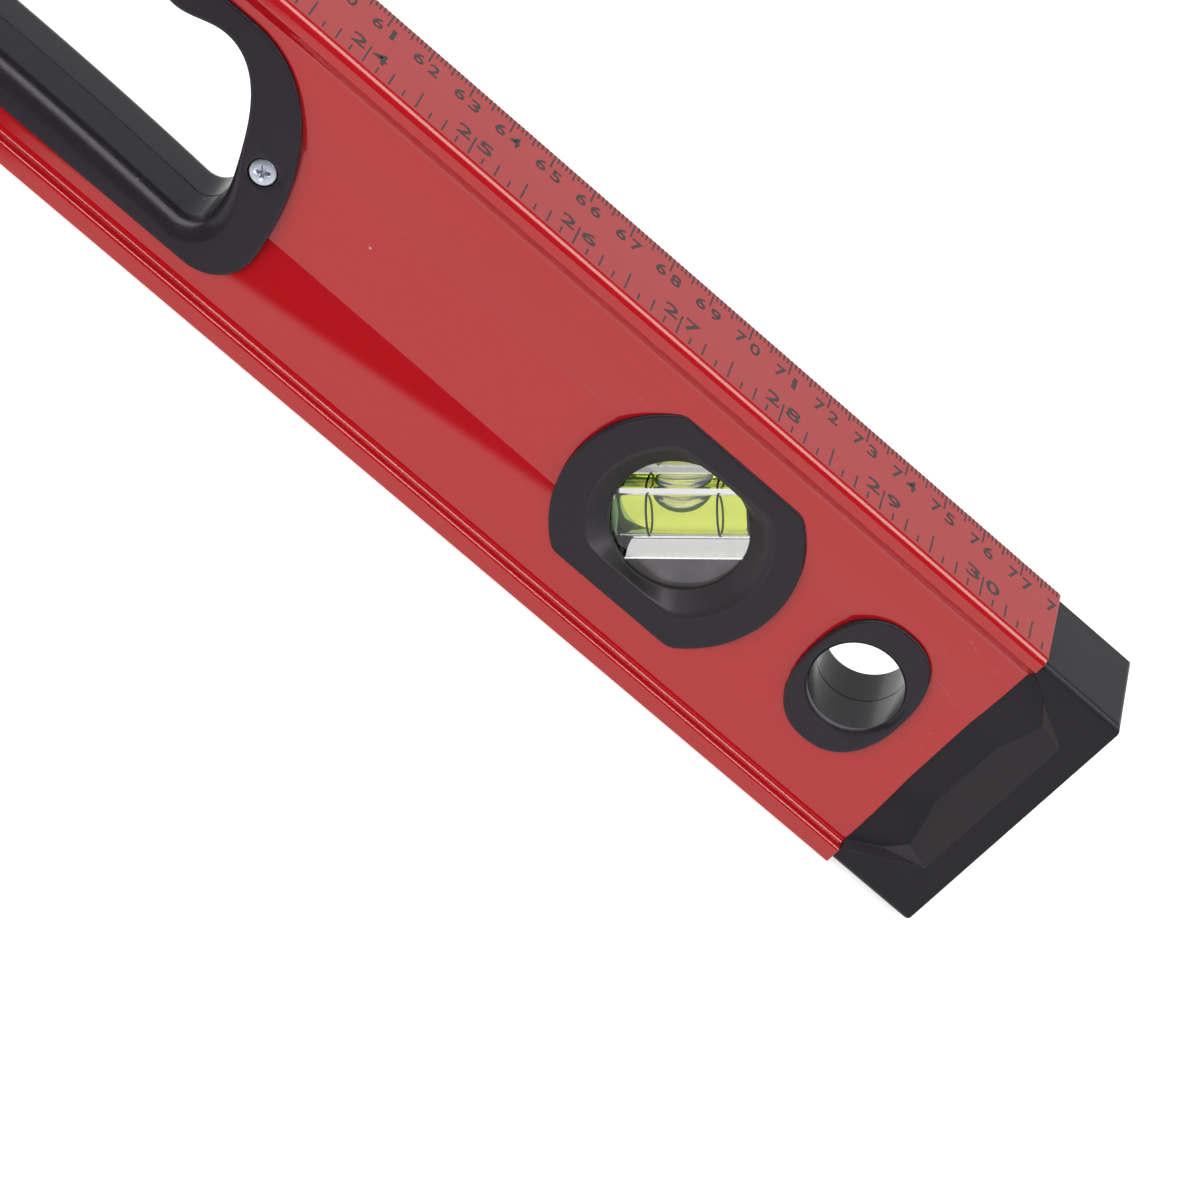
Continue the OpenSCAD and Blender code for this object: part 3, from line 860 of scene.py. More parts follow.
class Finishes:
    """Every finish of the level, made once."""

    def __init__(self) -> None:
        """Build the shared groups and all the materials."""
        groups = FinishGroups()
        self.paint = GlossPaint().make(groups)
        self.grip = MouldedPlastic(
            "grip_plastic",
            (0.0205, 0.0185, 0.0235, 1),
            (0.0262, 0.0236, 0.0292, 1),
            grain_depth=0.00005,
            mirror=0.195,
        ).make(groups)
        self.housing = MouldedPlastic(
            "housing_plastic",
            (0.017, 0.016, 0.0195, 1),
            (0.0225, 0.021, 0.0245, 1),
            grain_scale=3600.0,
            rough_low=0.20,
            rough_high=0.30,
        ).make(groups)
        # The cradle's pale pinkish patches are a painted reflection on its polished
        # face.
        self.polished = MouldedPlastic(
            "housing_polished",
            (0.020, 0.021, 0.023, 1),
            (0.30, 0.262, 0.275, 1),
            grain_scale=4200.0,
            grain_depth=0.00001,
            rough_low=0.10,
            rough_high=0.22,
            mirror=0.5,
        ).make(groups)
        # The seat is pale; its glow is painted light that stands for the light the
        # clear block brings to it.
        self.seat = Print(
            "pale_seat", (0.80, 0.79, 0.81, 1), (0.70, 0.70, 0.71, 1), 0.5, 0.8
        ).make(groups)
        self.cap = MouldedPlastic(
            "cap_plastic",
            (0.020, 0.019, 0.022, 1),
            (0.025, 0.0235, 0.0265, 1),
            grain_scale=2600.0,
            grain_depth=0.00003,
            rough_low=0.34,
            rough_high=0.46,
            mirror=0.115,
        ).make(groups)
        self.textured = MouldedPlastic(
            "textured_plastic",
            (0.028, 0.0265, 0.0285, 1),
            (0.036, 0.034, 0.0365, 1),
            grain_scale=2200.0,
            grain_depth=0.00004,
            rough_low=0.36,
            rough_high=0.46,
            mirror=0.20,
        ).make(groups)
        self.zinc = PlatedMetal(
            "bright_zinc",
            (0.585, 0.64, 0.715, 1),
            (0.465, 0.515, 0.59, 1),
            0.32,
            0.52,
            grain_scale=4200.0,
            grain_depth=0.000022,
        ).make(groups)
        self.nickel = PlatedMetal(
            "bright_nickel", (0.66, 0.65, 0.62, 1), (0.58, 0.57, 0.55, 1), 0.12, 0.26
        ).make(groups)
        self.acrylic = ClearBody(
            "clear_acrylic", (0.60, 0.60, 0.60, 1), 1.49, grain_depth=0.000002
        ).make(groups)
        self.plug = ClearBody(
            "plug_acrylic", (0.93, 0.98, 0.95, 1), 1.02, roughness=0.05
        ).make(groups)
        # The liquid's faint glow is painted light that lifts its dark parts, standing
        # in part for its fluorescence.
        self.liquid = ClearBody(
            "vial_liquid",
            (0.70, 0.78, 0.148, 1),
            0.92,
            glow=(0.55, 0.68, 0.16, 1),
            glow_strength=0.05,
        ).make(groups)
        # Painted shade: a darker green copy of the liquid for the crescent at the
        # chamber's blind end, where refraction leaves it dark.
        self.shade = ClearBody("vial_liquid_shade", (0.17, 0.36, 0.13, 1), 0.92).make(
            groups
        )
        # Painted light in the bubble: a lilac-blue glow, bright where the gas faces the
        # view and fading at its rims.
        self.gas = ClearBody(
            "bubble_gas",
            (0.93, 0.88, 1.0, 1),
            0.735,
            glow=(0.17, 0.14, 0.70, 1),
            glow_strength=0.5,
            glow_fades=True,
        ).make(groups)
        # Painted shade: the dark green band round the bubble stands for the dark edge
        # that refraction draws where the liquid meets the bore.
        self.outline = Print(
            "bubble_outline", (0.05, 0.25, 0.14, 1), (0.04, 0.20, 0.10, 1), 0.4
        ).make(groups)
        self.rings = Print(
            "line_ring_black", (0.010, 0.014, 0.010, 1), (0.02, 0.03, 0.02, 1)
        ).make(groups)
        self.ink = Print(
            "scale_ink", (0.014, 0.012, 0.014, 1), (0.026, 0.022, 0.024, 1), 0.6
        ).make(groups)


# Geometry Nodes, for what follows a rule or repeats


class NodesTool:
    """A Geometry Nodes tree with named inputs that is baked into a plain mesh."""

    def __init__(self, name: str, inputs: dict[str, str]) -> None:
        """Start a tree with a geometry input, inputs of named kinds and an output."""
        self.name = name
        self.tree = bpy.data.node_groups.new(name, "GeometryNodeTree")
        face, shape = self.tree.interface, "NodeSocketGeometry"
        face.new_socket("Geometry", in_out="INPUT", socket_type=shape)
        self.keys = {}
        for label, kind in inputs.items():
            kind = f"NodeSocket{kind}"
            made = face.new_socket(label, in_out="INPUT", socket_type=kind)
            self.keys[label] = made.identifier
        face.new_socket("Geometry", in_out="OUTPUT", socket_type=shape)
        self.given = add_node(self.tree, "NodeGroupInput")
        self.out = add_node(self.tree, "NodeGroupOutput")

    def vector(self, **parts: object) -> NodeSocket:
        """Return a vector with the given parts."""
        return add_node(self.tree, "ShaderNodeCombineXYZ", parts).outputs["Vector"]

    def close(self, geometry: NodeSocket) -> None:
        """End the tree in Realize Instances and Set Material."""
        real = add_node(
            self.tree, "GeometryNodeRealizeInstances", {"Geometry": geometry}
        )
        feeds = {
            "Geometry": real.outputs["Geometry"],
            "Material": self.given.outputs["Material"],
        }
        paint = add_node(self.tree, "GeometryNodeSetMaterial", feeds)
        feed(self.tree, self.out.inputs["Geometry"], paint.outputs["Geometry"])

    def bake(self, start: Mesh, values: dict[str, object]) -> Mesh:
        """Run the tree on a mesh with the given inputs.

        Args:
            start: The mesh that the tree works on.
            values: Value of each named input.

        Returns:
            The plain mesh that comes out.
        """
        holder = bpy.data.objects.new(f"{self.name}_work", start)
        bpy.context.scene.collection.objects.link(holder)
        modifier = holder.modifiers.new(self.name, "NODES")
        modifier.node_group = self.tree
        for label, value in values.items():
            modifier[self.keys[label]] = value
        mesh = baked(holder)
        bpy.data.objects.remove(holder)
        return mesh


def extrusion_tool() -> NodesTool:
    """Return the tool that draws a profile out along the level."""
    sizes = {"Start": "Float", "Length": "Float", "Material": "Material"}
    tool = NodesTool("extrusion", sizes)
    tree, given = tool.tree, tool.given.outputs
    start = tool.vector(X=given["Start"])
    feeds = {"Geometry": given["Geometry"], "Translation": start}
    place = add_node(tree, "GeometryNodeTransform", feeds).outputs["Geometry"]
    feeds = {"Mesh": place, "Offset": tool.vector(X=given["Length"])}
    draw = add_node(tree, "GeometryNodeExtrudeMesh", feeds, mode="FACES")
    turn = add_node(tree, "GeometryNodeFlipFaces", {"Mesh": place})
    join = add_node(tree, "GeometryNodeJoinGeometry")
    for part in (draw, turn):
        feed(tree, join.inputs["Geometry"], part.outputs["Mesh"])
    feeds = {"Geometry": join.outputs["Geometry"]}
    weld = add_node(tree, "GeometryNodeMergeByDistance", feeds)
    tool.close(weld.outputs["Geometry"])
    return tool


def graduation_tool() -> NodesTool:
    """Return the tool that sets out a row of ticks, longer at each fifth and tenth."""
    longer = ("Middle", "Long", "Longest")
    sizes = ("Start", "Pitch", "Width", "Short", *longer)
    tool = NodesTool(
        "graduation",
        {"Count": "Int"}
        | dict.fromkeys(sizes, "Float")
        | {f"Every {size}": "Int" for size in longer}
        | {"Material": "Material"},
    )
    tree, given = tool.tree, tool.given.outputs
    feeds = {
        "Count": given["Count"],
        "Start Location": tool.vector(X=given["Start"]),
        "Offset": tool.vector(X=given["Pitch"]),
    }
    line = add_node(
        tree, "GeometryNodeMeshLine", feeds, mode="OFFSET", count_mode="TOTAL"
    )
    index = add_node(tree, "GeometryNodeInputIndex").outputs["Index"]
    number = maths(tree, "ADD", index, 1.0)
    length = given["Short"]
    for size in longer:
        rest = maths(tree, "MODULO", number, given[f"Every {size}"])
        chosen = maths(tree, "LESS_THAN", rest, 0.5)
        more = maths(tree, "SUBTRACT", given[size], length)
        length = maths(tree, "MULTIPLY_ADD", chosen, more, length)
    feeds = {
        "Points": line.outputs["Mesh"],
        "Instance": given["Geometry"],
        "Scale": tool.vector(X=given["Width"], Y=length, Z=1.0),
    }
    copies = add_node(tree, "GeometryNodeInstanceOnPoints", feeds)
    tool.close(copies.outputs["Instances"])
    return tool


# The pieces of the level


class SubAssembly(Protocol):
    """A group of pieces that builds and dresses itself."""

    def build(self, finishes: Finishes) -> list[Object]:
        """Build the pieces and return them."""


@dataclass
class HandHole:
    """Outlines of a hand grip, shared by its mouldings and the box section's cut."""

    length: float = 125.0
    margin: float = 2.1
    end_width: float = 11.5
    bar_low: float = 8.8
    bar_high: float = 5.5
    pitch: float = 20.8
    deep: float = 2.4
    belly: float = 1.2
    hole_corner: float = 4.5
    grip_corner: float = 9.4
    shoulder: float = 28.5
    mouth_low: float = 4.0
    mouth_high: float = 0.8
    side_pulls: tuple[tuple[float, float], ...] = ((0.0, 0.78), (1.2, 0.69))
    knee: tuple[float, float] = (2.3, 0.6)
    knee_pull: tuple[float, float] = (5.5, 0.34)
    finger_pull: float = 9.3

    @property
    def low(self) -> float:
        """Height of the flange's lower edge."""
        return BODY.face_low + self.margin

    @property
    def high(self) -> float:
        """Height of the flange's upper edge."""
        return BODY.face_high - self.margin

    @property
    def hole_low(self) -> float:
        """Height of the hole's lower side in the middle."""
        return self.low + self.bar_low

    @property
    def hole_high(self) -> float:
        """Height of the hole's scallops at their tops."""
        return self.high - self.bar_high

    def flange(self) -> Outline:
        """Return the flange's outline round the grip's middle."""
        half = self.length / 2
        start = self.low + self.grip_corner
        corner = arc((half - self.grip_corner, start), self.grip_corner, -90, 0, 20)
        points = [
            (half, start),
            (half - 0.9, start + (self.high - self.low) / 3),
            (half - 0.35 * self.shoulder, self.high),
            (half - self.shoulder, self.high),
        ]
        shoulder = bezier(points, 44)
        return tidy(both_sides(np.vstack([corner, shoulder])))

    def hole(self) -> Outline:
        """Return the hole's outline, its belly below and its scallops above."""
        half = self.length / 2 - self.end_width
        drop = self.hole_high - self.hole_low
        foot = self.hole_low - self.belly
        last = 1.5 * self.pitch

        def spot(inset: float, fall: float) -> tuple[float, float]:
            """Return a point by its way in from the end and its share of the drop."""
            return half - inset, self.hole_high - fall * drop

        u = np.linspace(0.02, 0.98, 30)
        flat, r = half - self.hole_corner, self.hole_corner
        floor = np.column_stack([u * flat, self.hole_low - self.belly * u * u])
        corner = arc((flat, foot + r), r, -90, 0, 18)
        knee, pulls = spot(*self.knee), [spot(*pull) for pull in self.side_pulls]
        side = bezier([(half, foot + r), *pulls, knee], 12)
        crest = [(last + self.finger_pull, self.hole_high), (last, self.hole_high)]
        shoulder = bezier([knee, spot(*self.knee_pull), *crest], 36)
        run = np.linspace(last, 0, 92)[1:-1]
        wave = (1 - np.cos(2 * np.pi * (last - run) / self.pitch)) / 2
        fingers = np.column_stack([run, self.hole_high - self.deep * wave])
        return tidy(both_sides(np.vstack([floor, corner, side, shoulder, fingers])))

    def mouth(self, z: np.ndarray) -> np.ndarray:
        """Return the radius of the hole's rounded mouth at height z."""
        u = np.clip((z - self.hole_low) / (self.hole_high - self.hole_low) / 0.6, 0, 1)
        return self.mouth_low + (self.mouth_high - self.mouth_low) * u * u * (3 - 2 * u)


@dataclass
class HousingForm:
    """Outline of a vial housing's flange: a circle with two flats."""

    width: float = 49.5
    height: float = 39.8
    corner: float = 4.0
    least: float = 0.5

    def outline(self, more: float, count: int = 200) -> Outline:
        """Return the outline, moved outwards by more, with evenly spread points."""
        round_r = self.width / 2 + more
        flat = self.height / 2 + more
        fillet = max(self.least, self.corner + more)
        fx = math.sqrt((round_r - fillet) ** 2 - (flat - fillet) ** 2)
        fz = flat - fillet
        turn = math.degrees(math.atan2(fz, fx))
        low = arc((fx, -fz), fillet, -90, -turn, 16)
        side = arc((0, 0), round_r, -turn, turn, 60)[1:]
        high = arc((fx, fz), fillet, turn, 90, 16)[1:]
        return even(tidy(both_sides(np.vstack([low, side, high]))), count)


@dataclass
class BoxSection:
    """The painted aluminium extrusion with its cuts, and its sawn ends."""

    flank_steps: int = 20
    cut_gap: float = 0.3
    lining: float = 2.4
    ledge: float = 2.5
    hang_cut: float = 10.85
    magnet_cut: float = 7.04
    overrun: float = 4.0
    end_round: float = 0.22
    crease: float = 2.6
    under_rail: float = 46.0
    sharp: float = 32.0
    end_least: float = 0.02
    off_outline: float = 0.00002

    def profile(self) -> Outline:
        """Return the outline of the outer form across the level."""
        b = BODY
        flank = (b.face_high - b.face_low) / 2 - b.band / 2
        low = b.face_low + flank * np.linspace(0, 1, self.flank_steps + 1)[1:]
        high = b.face_high - flank * np.linspace(1, 0, self.flank_steps + 1)
        nose, base, soft, top = b.rail_nose, b.base_radius, b.step_soft, b.top_radius
        inner, under, bend = b.half_t - b.face_edge, self.under_rail, self.crease
        reach = bend * math.tan(math.radians(under / 2))
        high = high[high < b.face_high - reach - 0.2]
        rail = b.height - b.rail_high
        half = [
            arc((b.half_t - base, base), base, -90, 0, 6),
            arc((b.half_t - nose, b.rail_low - nose), nose, 0, 90, 6),
            arc((inner + soft, b.rail_low + soft), soft, -90, -180, 12),
            np.column_stack([b.half_t - b.dip(low), low]),
            np.column_stack([b.half_t - b.dip(high), high]),
            arc((inner + bend, b.face_high - reach), bend, 180, 180 - under, 8),
            arc((b.half_t - nose, rail + nose), nose, -under, 0, 6),
            arc((b.half_t - top, b.height - top), top, 0, 90, 12),
        ]
        return tidy(both_sides(np.vstack(half)))

    def cavity(self) -> Outline:
        """Return the outline of the hollow inside."""
        b = BODY
        flank = (b.face_high - b.face_low) / 2 - b.band / 2
        edge = b.half_t - b.face_edge - b.wall
        low_z, high_z, r = b.base, b.height - b.top, b.cavity_radius
        low = b.face_low + flank * np.linspace(0, 1, 8)[1:]
        high = b.face_high - flank * np.linspace(1, 0, 8)[:-1]
        half = [
            arc((edge - r, low_z + r), r, -90, 0, 6),
            np.column_stack([b.half_t - b.dip(low) - b.wall, low]),
            np.column_stack([b.half_t - b.dip(high) - b.wall, high]),
            arc((edge - r, high_z - r), r, 0, 90, 6),
        ]
        return tidy(both_sides(np.vstack(half)))

    @staticmethod
    def profile_face(outline: Outline, name: str) -> Mesh:
        """Return a profile as one face across the level, facing along +X."""
        mesh = bpy.data.meshes.new(name)
        points = [(0.0, y * MM, z * MM) for y, z in outline]
        mesh.from_pydata(points, [], [tuple(range(len(points)))])
        return mesh

    def cutter(self) -> Object:
        """Return one object with every cut through the section's walls."""
        shell = Shell()
        b = BODY
        around = even(HandHole().hole(), 240)
        hand = grown(around, self.lining + self.cut_gap)
        seat = HousingForm().outline(self.cut_gap - self.ledge, 120)
        bore = circle(self.hang_cut, 72)
        cuts = [(hand, x, 0.0) for x in (-b.grip_x, b.grip_x)]
        cuts += [(seat, x, b.mid_z) for x in (-b.vial_x, 0.0, b.vial_x)]
        cuts += [(bore, x, b.mid_z) for x in (-b.hang_x, b.hang_x)]
        for outline, x, z in cuts:
            shell.solid(at_forward(outline, b.thickness, side, x, z) for side in Side)
        for x in b.magnet_x:
            round_cut = circle(self.magnet_cut, 64) + [x, 0]
            ends = (-self.overrun, b.base + self.overrun)
            shell.solid(at_z(round_cut, z) for z in ends)
        return shell.build("section_cutter", [])

    def smooth_normals(self, mesh: Mesh) -> None:
        """Give the drawn faces the profile's own normals, whatever cuts them."""
        outline = self.profile() * MM
        ahead = np.roll(outline, -1, axis=0)
        along = ahead - outline
        size = np.linalg.norm(along, axis=1)
        flat = np.column_stack([along[:, 1], -along[:, 0]]) / size[:, None]
        sharp = math.cos(math.radians(self.sharp))
        whole = flat * size[:, None]
        sides = []
        for step in (1, -1):
            smooth = (flat * np.roll(flat, step, axis=0)).sum(1)[:, None] > sharp
            both = np.where(smooth, whole + np.roll(whole, step, 0), whole)
            sides.append(both / np.linalg.norm(both, axis=1)[:, None])
        starts, ends = sides
        where = np.array([v.co for v in mesh.vertices])
        normals = np.array([tuple(n.vector) for n in mesh.corner_normals])
        for face in mesh.polygons:
            if abs(face.normal.x) > self.end_least:
                continue
            middle = np.array(face.center)[1:]
            share = ((middle - outline) * along).sum(1) / size**2
            near = outline + np.clip(share, 0, 1)[:, None] * along
            gap = np.linalg.norm(middle - near, axis=1)
            k = int(gap.argmin())
            if gap[k] > self.off_outline:
                continue
            for loop in face.loop_indices:
                place = where[mesh.loops[loop].vertex_index][1:]
                t = float(np.clip((place - outline[k]) @ along[k] / size[k] ** 2, 0, 1))
                normal = starts[k] * (1 - t) + ends[k] * t
                normal /= np.linalg.norm(normal)
                normals[loop] = (0.0, normal[0], normal[1])
        mesh.normals_split_custom_set([tuple(n) for n in normals])

    def drawn(self) -> Object:
        """Draw the outer form out along the level, its sawn ends broken."""
        shell = Shell()
        outline = self.profile()
        edge = rounded_edge(self.end_round, 3)
        near = [(-BODY.section_end + drop, inset) for inset, drop in edge]
        far = [(BODY.section_end - drop, inset) for inset, drop in reversed(edge)]
        shell.solid(at_x(grown(outline, -inset), x) for x, inset in near + far)
        return shell.build("box_section_body", [])

    def build(self, finishes: Finishes) -> list[Object]:
        """Build the section: draw it out, hollow it and cut it."""
        tool = extrusion_tool()
        end = BODY.section_end * MM
        more = self.overrun * MM
        run = {"Start": -end - more, "Length": 2 * (end + more)}
        hollow = tool.bake(
            self.profile_face(self.cavity(), "cavity_profile"),
            run | {"Material": finishes.paint},
        )
        section = self.drawn()
        section.modifiers.clear()
        cutters = [finish_mesh("cavity_cutter", hollow), self.cutter()]
        for cutter in cutters:
            cutter.modifiers.clear()
            cut = section.modifiers.new(cutter.name, "BOOLEAN")
            cut.operation = "DIFFERENCE"
            cut.solver = "EXACT"
            cut.object = cutter
        mesh = baked(section)
        for cutter in cutters:
            bpy.data.objects.remove(cutter)
        mesh.materials.clear()
        mesh.materials.append(finishes.paint)
        mesh.polygons.foreach_set("material_index", [0] * len(mesh.polygons))
        mesh.polygons.foreach_set("use_smooth", [True] * len(mesh.polygons))
        mesh.set_sharp_from_angle(angle=math.radians(self.sharp))
        self.smooth_normals(mesh)
        section.data = mesh
        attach(section, ROOT_BODY)
        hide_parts("box_section")
        return [section]


@dataclass
class PrintedScale:
    """Centimetres along the back of the top face and inches along its front."""

    tick_width: float = 0.35
    film: float = 0.035
    sunk: float = 0.05
    inch: float = 25.4
    cm_lengths: tuple[float, ...] = (3.15, 3.15, 4.65, 6.65)
    cm_every: tuple[int, ...] = (5, 5, 10)
    inch_lengths: tuple[float, ...] = (2.65, 4.9, 6.9, 7.6)
    inch_every: tuple[int, ...] = (2, 4, 8)
    tick_back: float = 14.15
    digit_cm: tuple[float, float] = (2.35, 4.15)
    digit_cm_y: float = 5.8
    digit_cm_apart: float = 1.8
    digit_inch: tuple[float, float] = (3.3, 4.2)
    digit_inch_y: float = -5.45
    digit_inch_apart: float = 2.5
    inch_edge: float = -12.0
    narrow_one: float = 0.42

    def surface(self, y: np.ndarray) -> np.ndarray:
        """Return the height of the top face, with its rounded edges, at y."""
        past = np.clip(np.abs(y) - (BODY.half_t - BODY.top_radius), 0, BODY.top_radius)
        return BODY.height - BODY.top_radius + np.sqrt(BODY.top_radius**2 - past**2)

    def drape(self, mesh: Mesh) -> None:
        """Lay a flat mesh, whose z tells its two skins apart, on the top face."""
        co = np.zeros(len(mesh.vertices) * 3)
        mesh.vertices.foreach_get("co", co)
        co = co.reshape(-1, 3)
        lift = np.where(co[:, 2] > 0, self.film, -self.sunk)
        co[:, 2] = (self.surface(co[:, 1] / MM) + lift) * MM
        mesh.vertices.foreach_set("co", co.ravel())

    def tick(self, rows: int) -> Mesh:
        """Return a unit tick from y = 0 to y = -1, with rows along its length."""
        shell = Shell()
        corners = box_outline(0.5, 0.5)
        rings = shell.stack(at_y(corners, y) for y in np.linspace(0, -1, rows + 1))
        shell.faces += [tuple(rings[0]), tuple(reversed(rings[-1]))]
        mesh = bpy.data.meshes.new("unit_tick")
        mesh.from_pydata(shell.points, [], shell.faces)
        return mesh

    def row(
        self,
        tool: NodesTool,
        rows: int,
        pitch: float,
        lengths: Sequence[float],
        every: Sequence[int],
        edge: float,
        ink: Material,
    ) -> Mesh:
        """Return one row of ticks, laid on the face.

        Args:
            tool: The tool that sets them out.
            rows: Number of faces along a tick.
            pitch: Distance from tick to tick.
            lengths: The lengths of the ticks, the shortest first.
            every: After how many ticks each longer one comes.
            edge: Place of the ticks' outer ends, behind the middle or in front.
            ink: Their material.

        Returns:
            The ticks' mesh.
        """
        start = -BODY.end_x
        away = math.copysign(MM, edge)
        values = {
            "Count": int((BODY.section_end - start - 1) / pitch),
            "Start": (start + pitch) * MM,
            "Pitch": pitch * MM,
            "Width": self.tick_width * away,
            "Material": ink,
        }
        names = ("Short", "Middle", "Long", "Longest")
        values |= {name: size * away for name, size in zip(names, lengths)}
        values |= {f"Every {name}": n for name, n in zip(names[1:], every)}
        mesh = tool.bake(self.tick(rows), values)
        self.trim(mesh)
        mesh.transform(Matrix.Translation((0, edge * MM, 0)))
        self.drape(mesh)
        return mesh

    def ticks(self, finishes: Finishes) -> list[Mesh]:
        """Return the centimetre ticks and the inch ticks, laid on the face."""
        kinds = (
            (9, 1.0, self.cm_lengths, self.cm_every, self.tick_back),
            (2, self.inch / 8, self.inch_lengths, self.inch_every, self.inch_edge),
        )
        tool = graduation_tool()
        return [self.row(tool, *kind, finishes.ink) for kind in kinds]

    @staticmethod
    def trim(mesh: Mesh) -> None:
        """Take off the ticks that would lie on an end cap's side of the cut."""
        least = (-BODY.section_end + 0.2) * MM
        work = bmesh.new()
        work.from_mesh(mesh)
        outside = [v for v in work.verts if v.co.x < least]
        bmesh.ops.delete(work, geom=outside, context="VERTS")
        work.to_mesh(mesh)
        work.free()

    @staticmethod
    def glyphs() -> list[np.ndarray | list]:
        """Return (points, faces) of the ten digits as flat unit-high plates."""
        made = []
        for digit in range(10):
            curve = bpy.data.curves.new(f"digit_{digit}", "FONT")
            curve.body = str(digit)
            curve.align_x = "LEFT"
            curve.resolution_u = 3
            curve.extrude = 0.5
            curve.offset = 0.011
            holder = bpy.data.objects.new(f"digit_{digit}", curve)
            bpy.context.scene.collection.objects.link(holder)
            mesh = bpy.data.meshes.new_from_object(holder)
            bpy.data.objects.remove(holder)
            work = bmesh.new()
            work.from_mesh(mesh)
            bmesh.ops.remove_doubles(work, verts=work.verts, dist=1e-5)
            work.to_mesh(mesh)
            work.free()
            points = np.array([tuple(v.co) for v in mesh.vertices])
            low, high = points.min(0), points.max(0)
            points[:, :2] = (points[:, :2] - (low + high)[:2] / 2) / (high - low)[:2]
            made.append((points, [tuple(p.vertices) for p in mesh.polygons]))
        return made

    def numbers(self, finishes: Finishes) -> Mesh:
        """Return every number of both scales as one mesh, laid on the face."""
        glyphs = self.glyphs()
        points: list[np.ndarray] = []
        faces: list[tuple[int, ...]] = []

        def put(digit: int, x: float, y: float, size: tuple[float, float]) -> None:
            """Place one digit with its middle at x, y."""
            shape, tris = glyphs[digit]
            wide = size[0] * (self.narrow_one if digit == 1 else 1.0)
            start = sum(len(p) for p in points)
            points.append(shape * [wide, size[1], 1] + [x, y, 0])
            faces.extend(tuple(start + k for k in t) for t in tris)

        start = -BODY.end_x
        rows = [
            (10.0, self.digit_cm_y, self.digit_cm, self.digit_cm_apart),
            (self.inch, self.digit_inch_y, self.digit_inch, self.digit_inch_apart),
        ]
        for pitch, y, size, apart in rows:
            for number in range(1, int(2 * BODY.end_x / pitch) + 1):
                text = str(number)
                tick = start + number * pitch
                spots = [-apart, apart] if len(text) == 2 else [-apart]
                for letter, off in zip(text, spots):
                    x = tick + off
                    if abs(x) + size[0] / 2 < BODY.section_end:
                        put(int(letter), x, y, size)
        mesh = bpy.data.meshes.new("scale_numbers")
        mesh.from_pydata((np.vstack(points) * [MM, MM, 1]).tolist(), [], faces)
        mesh.materials.append(finishes.ink)
        self.drape(mesh)
        return mesh

    def build(self, finishes: Finishes) -> list[Object]:
        """Build the printed scale."""
        cm, inch = self.ticks(finishes)
        pieces = []
        for name, mesh in (
            ("scale_centimetre_ticks", cm),
            ("scale_inch_ticks", inch),
            ("scale_numbers", self.numbers(finishes)),
        ):
            made = finish_mesh(name, mesh, 30)
            made.modifiers.clear()
            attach(made, ROOT_BODY)
            pieces.append(made)
        return pieces


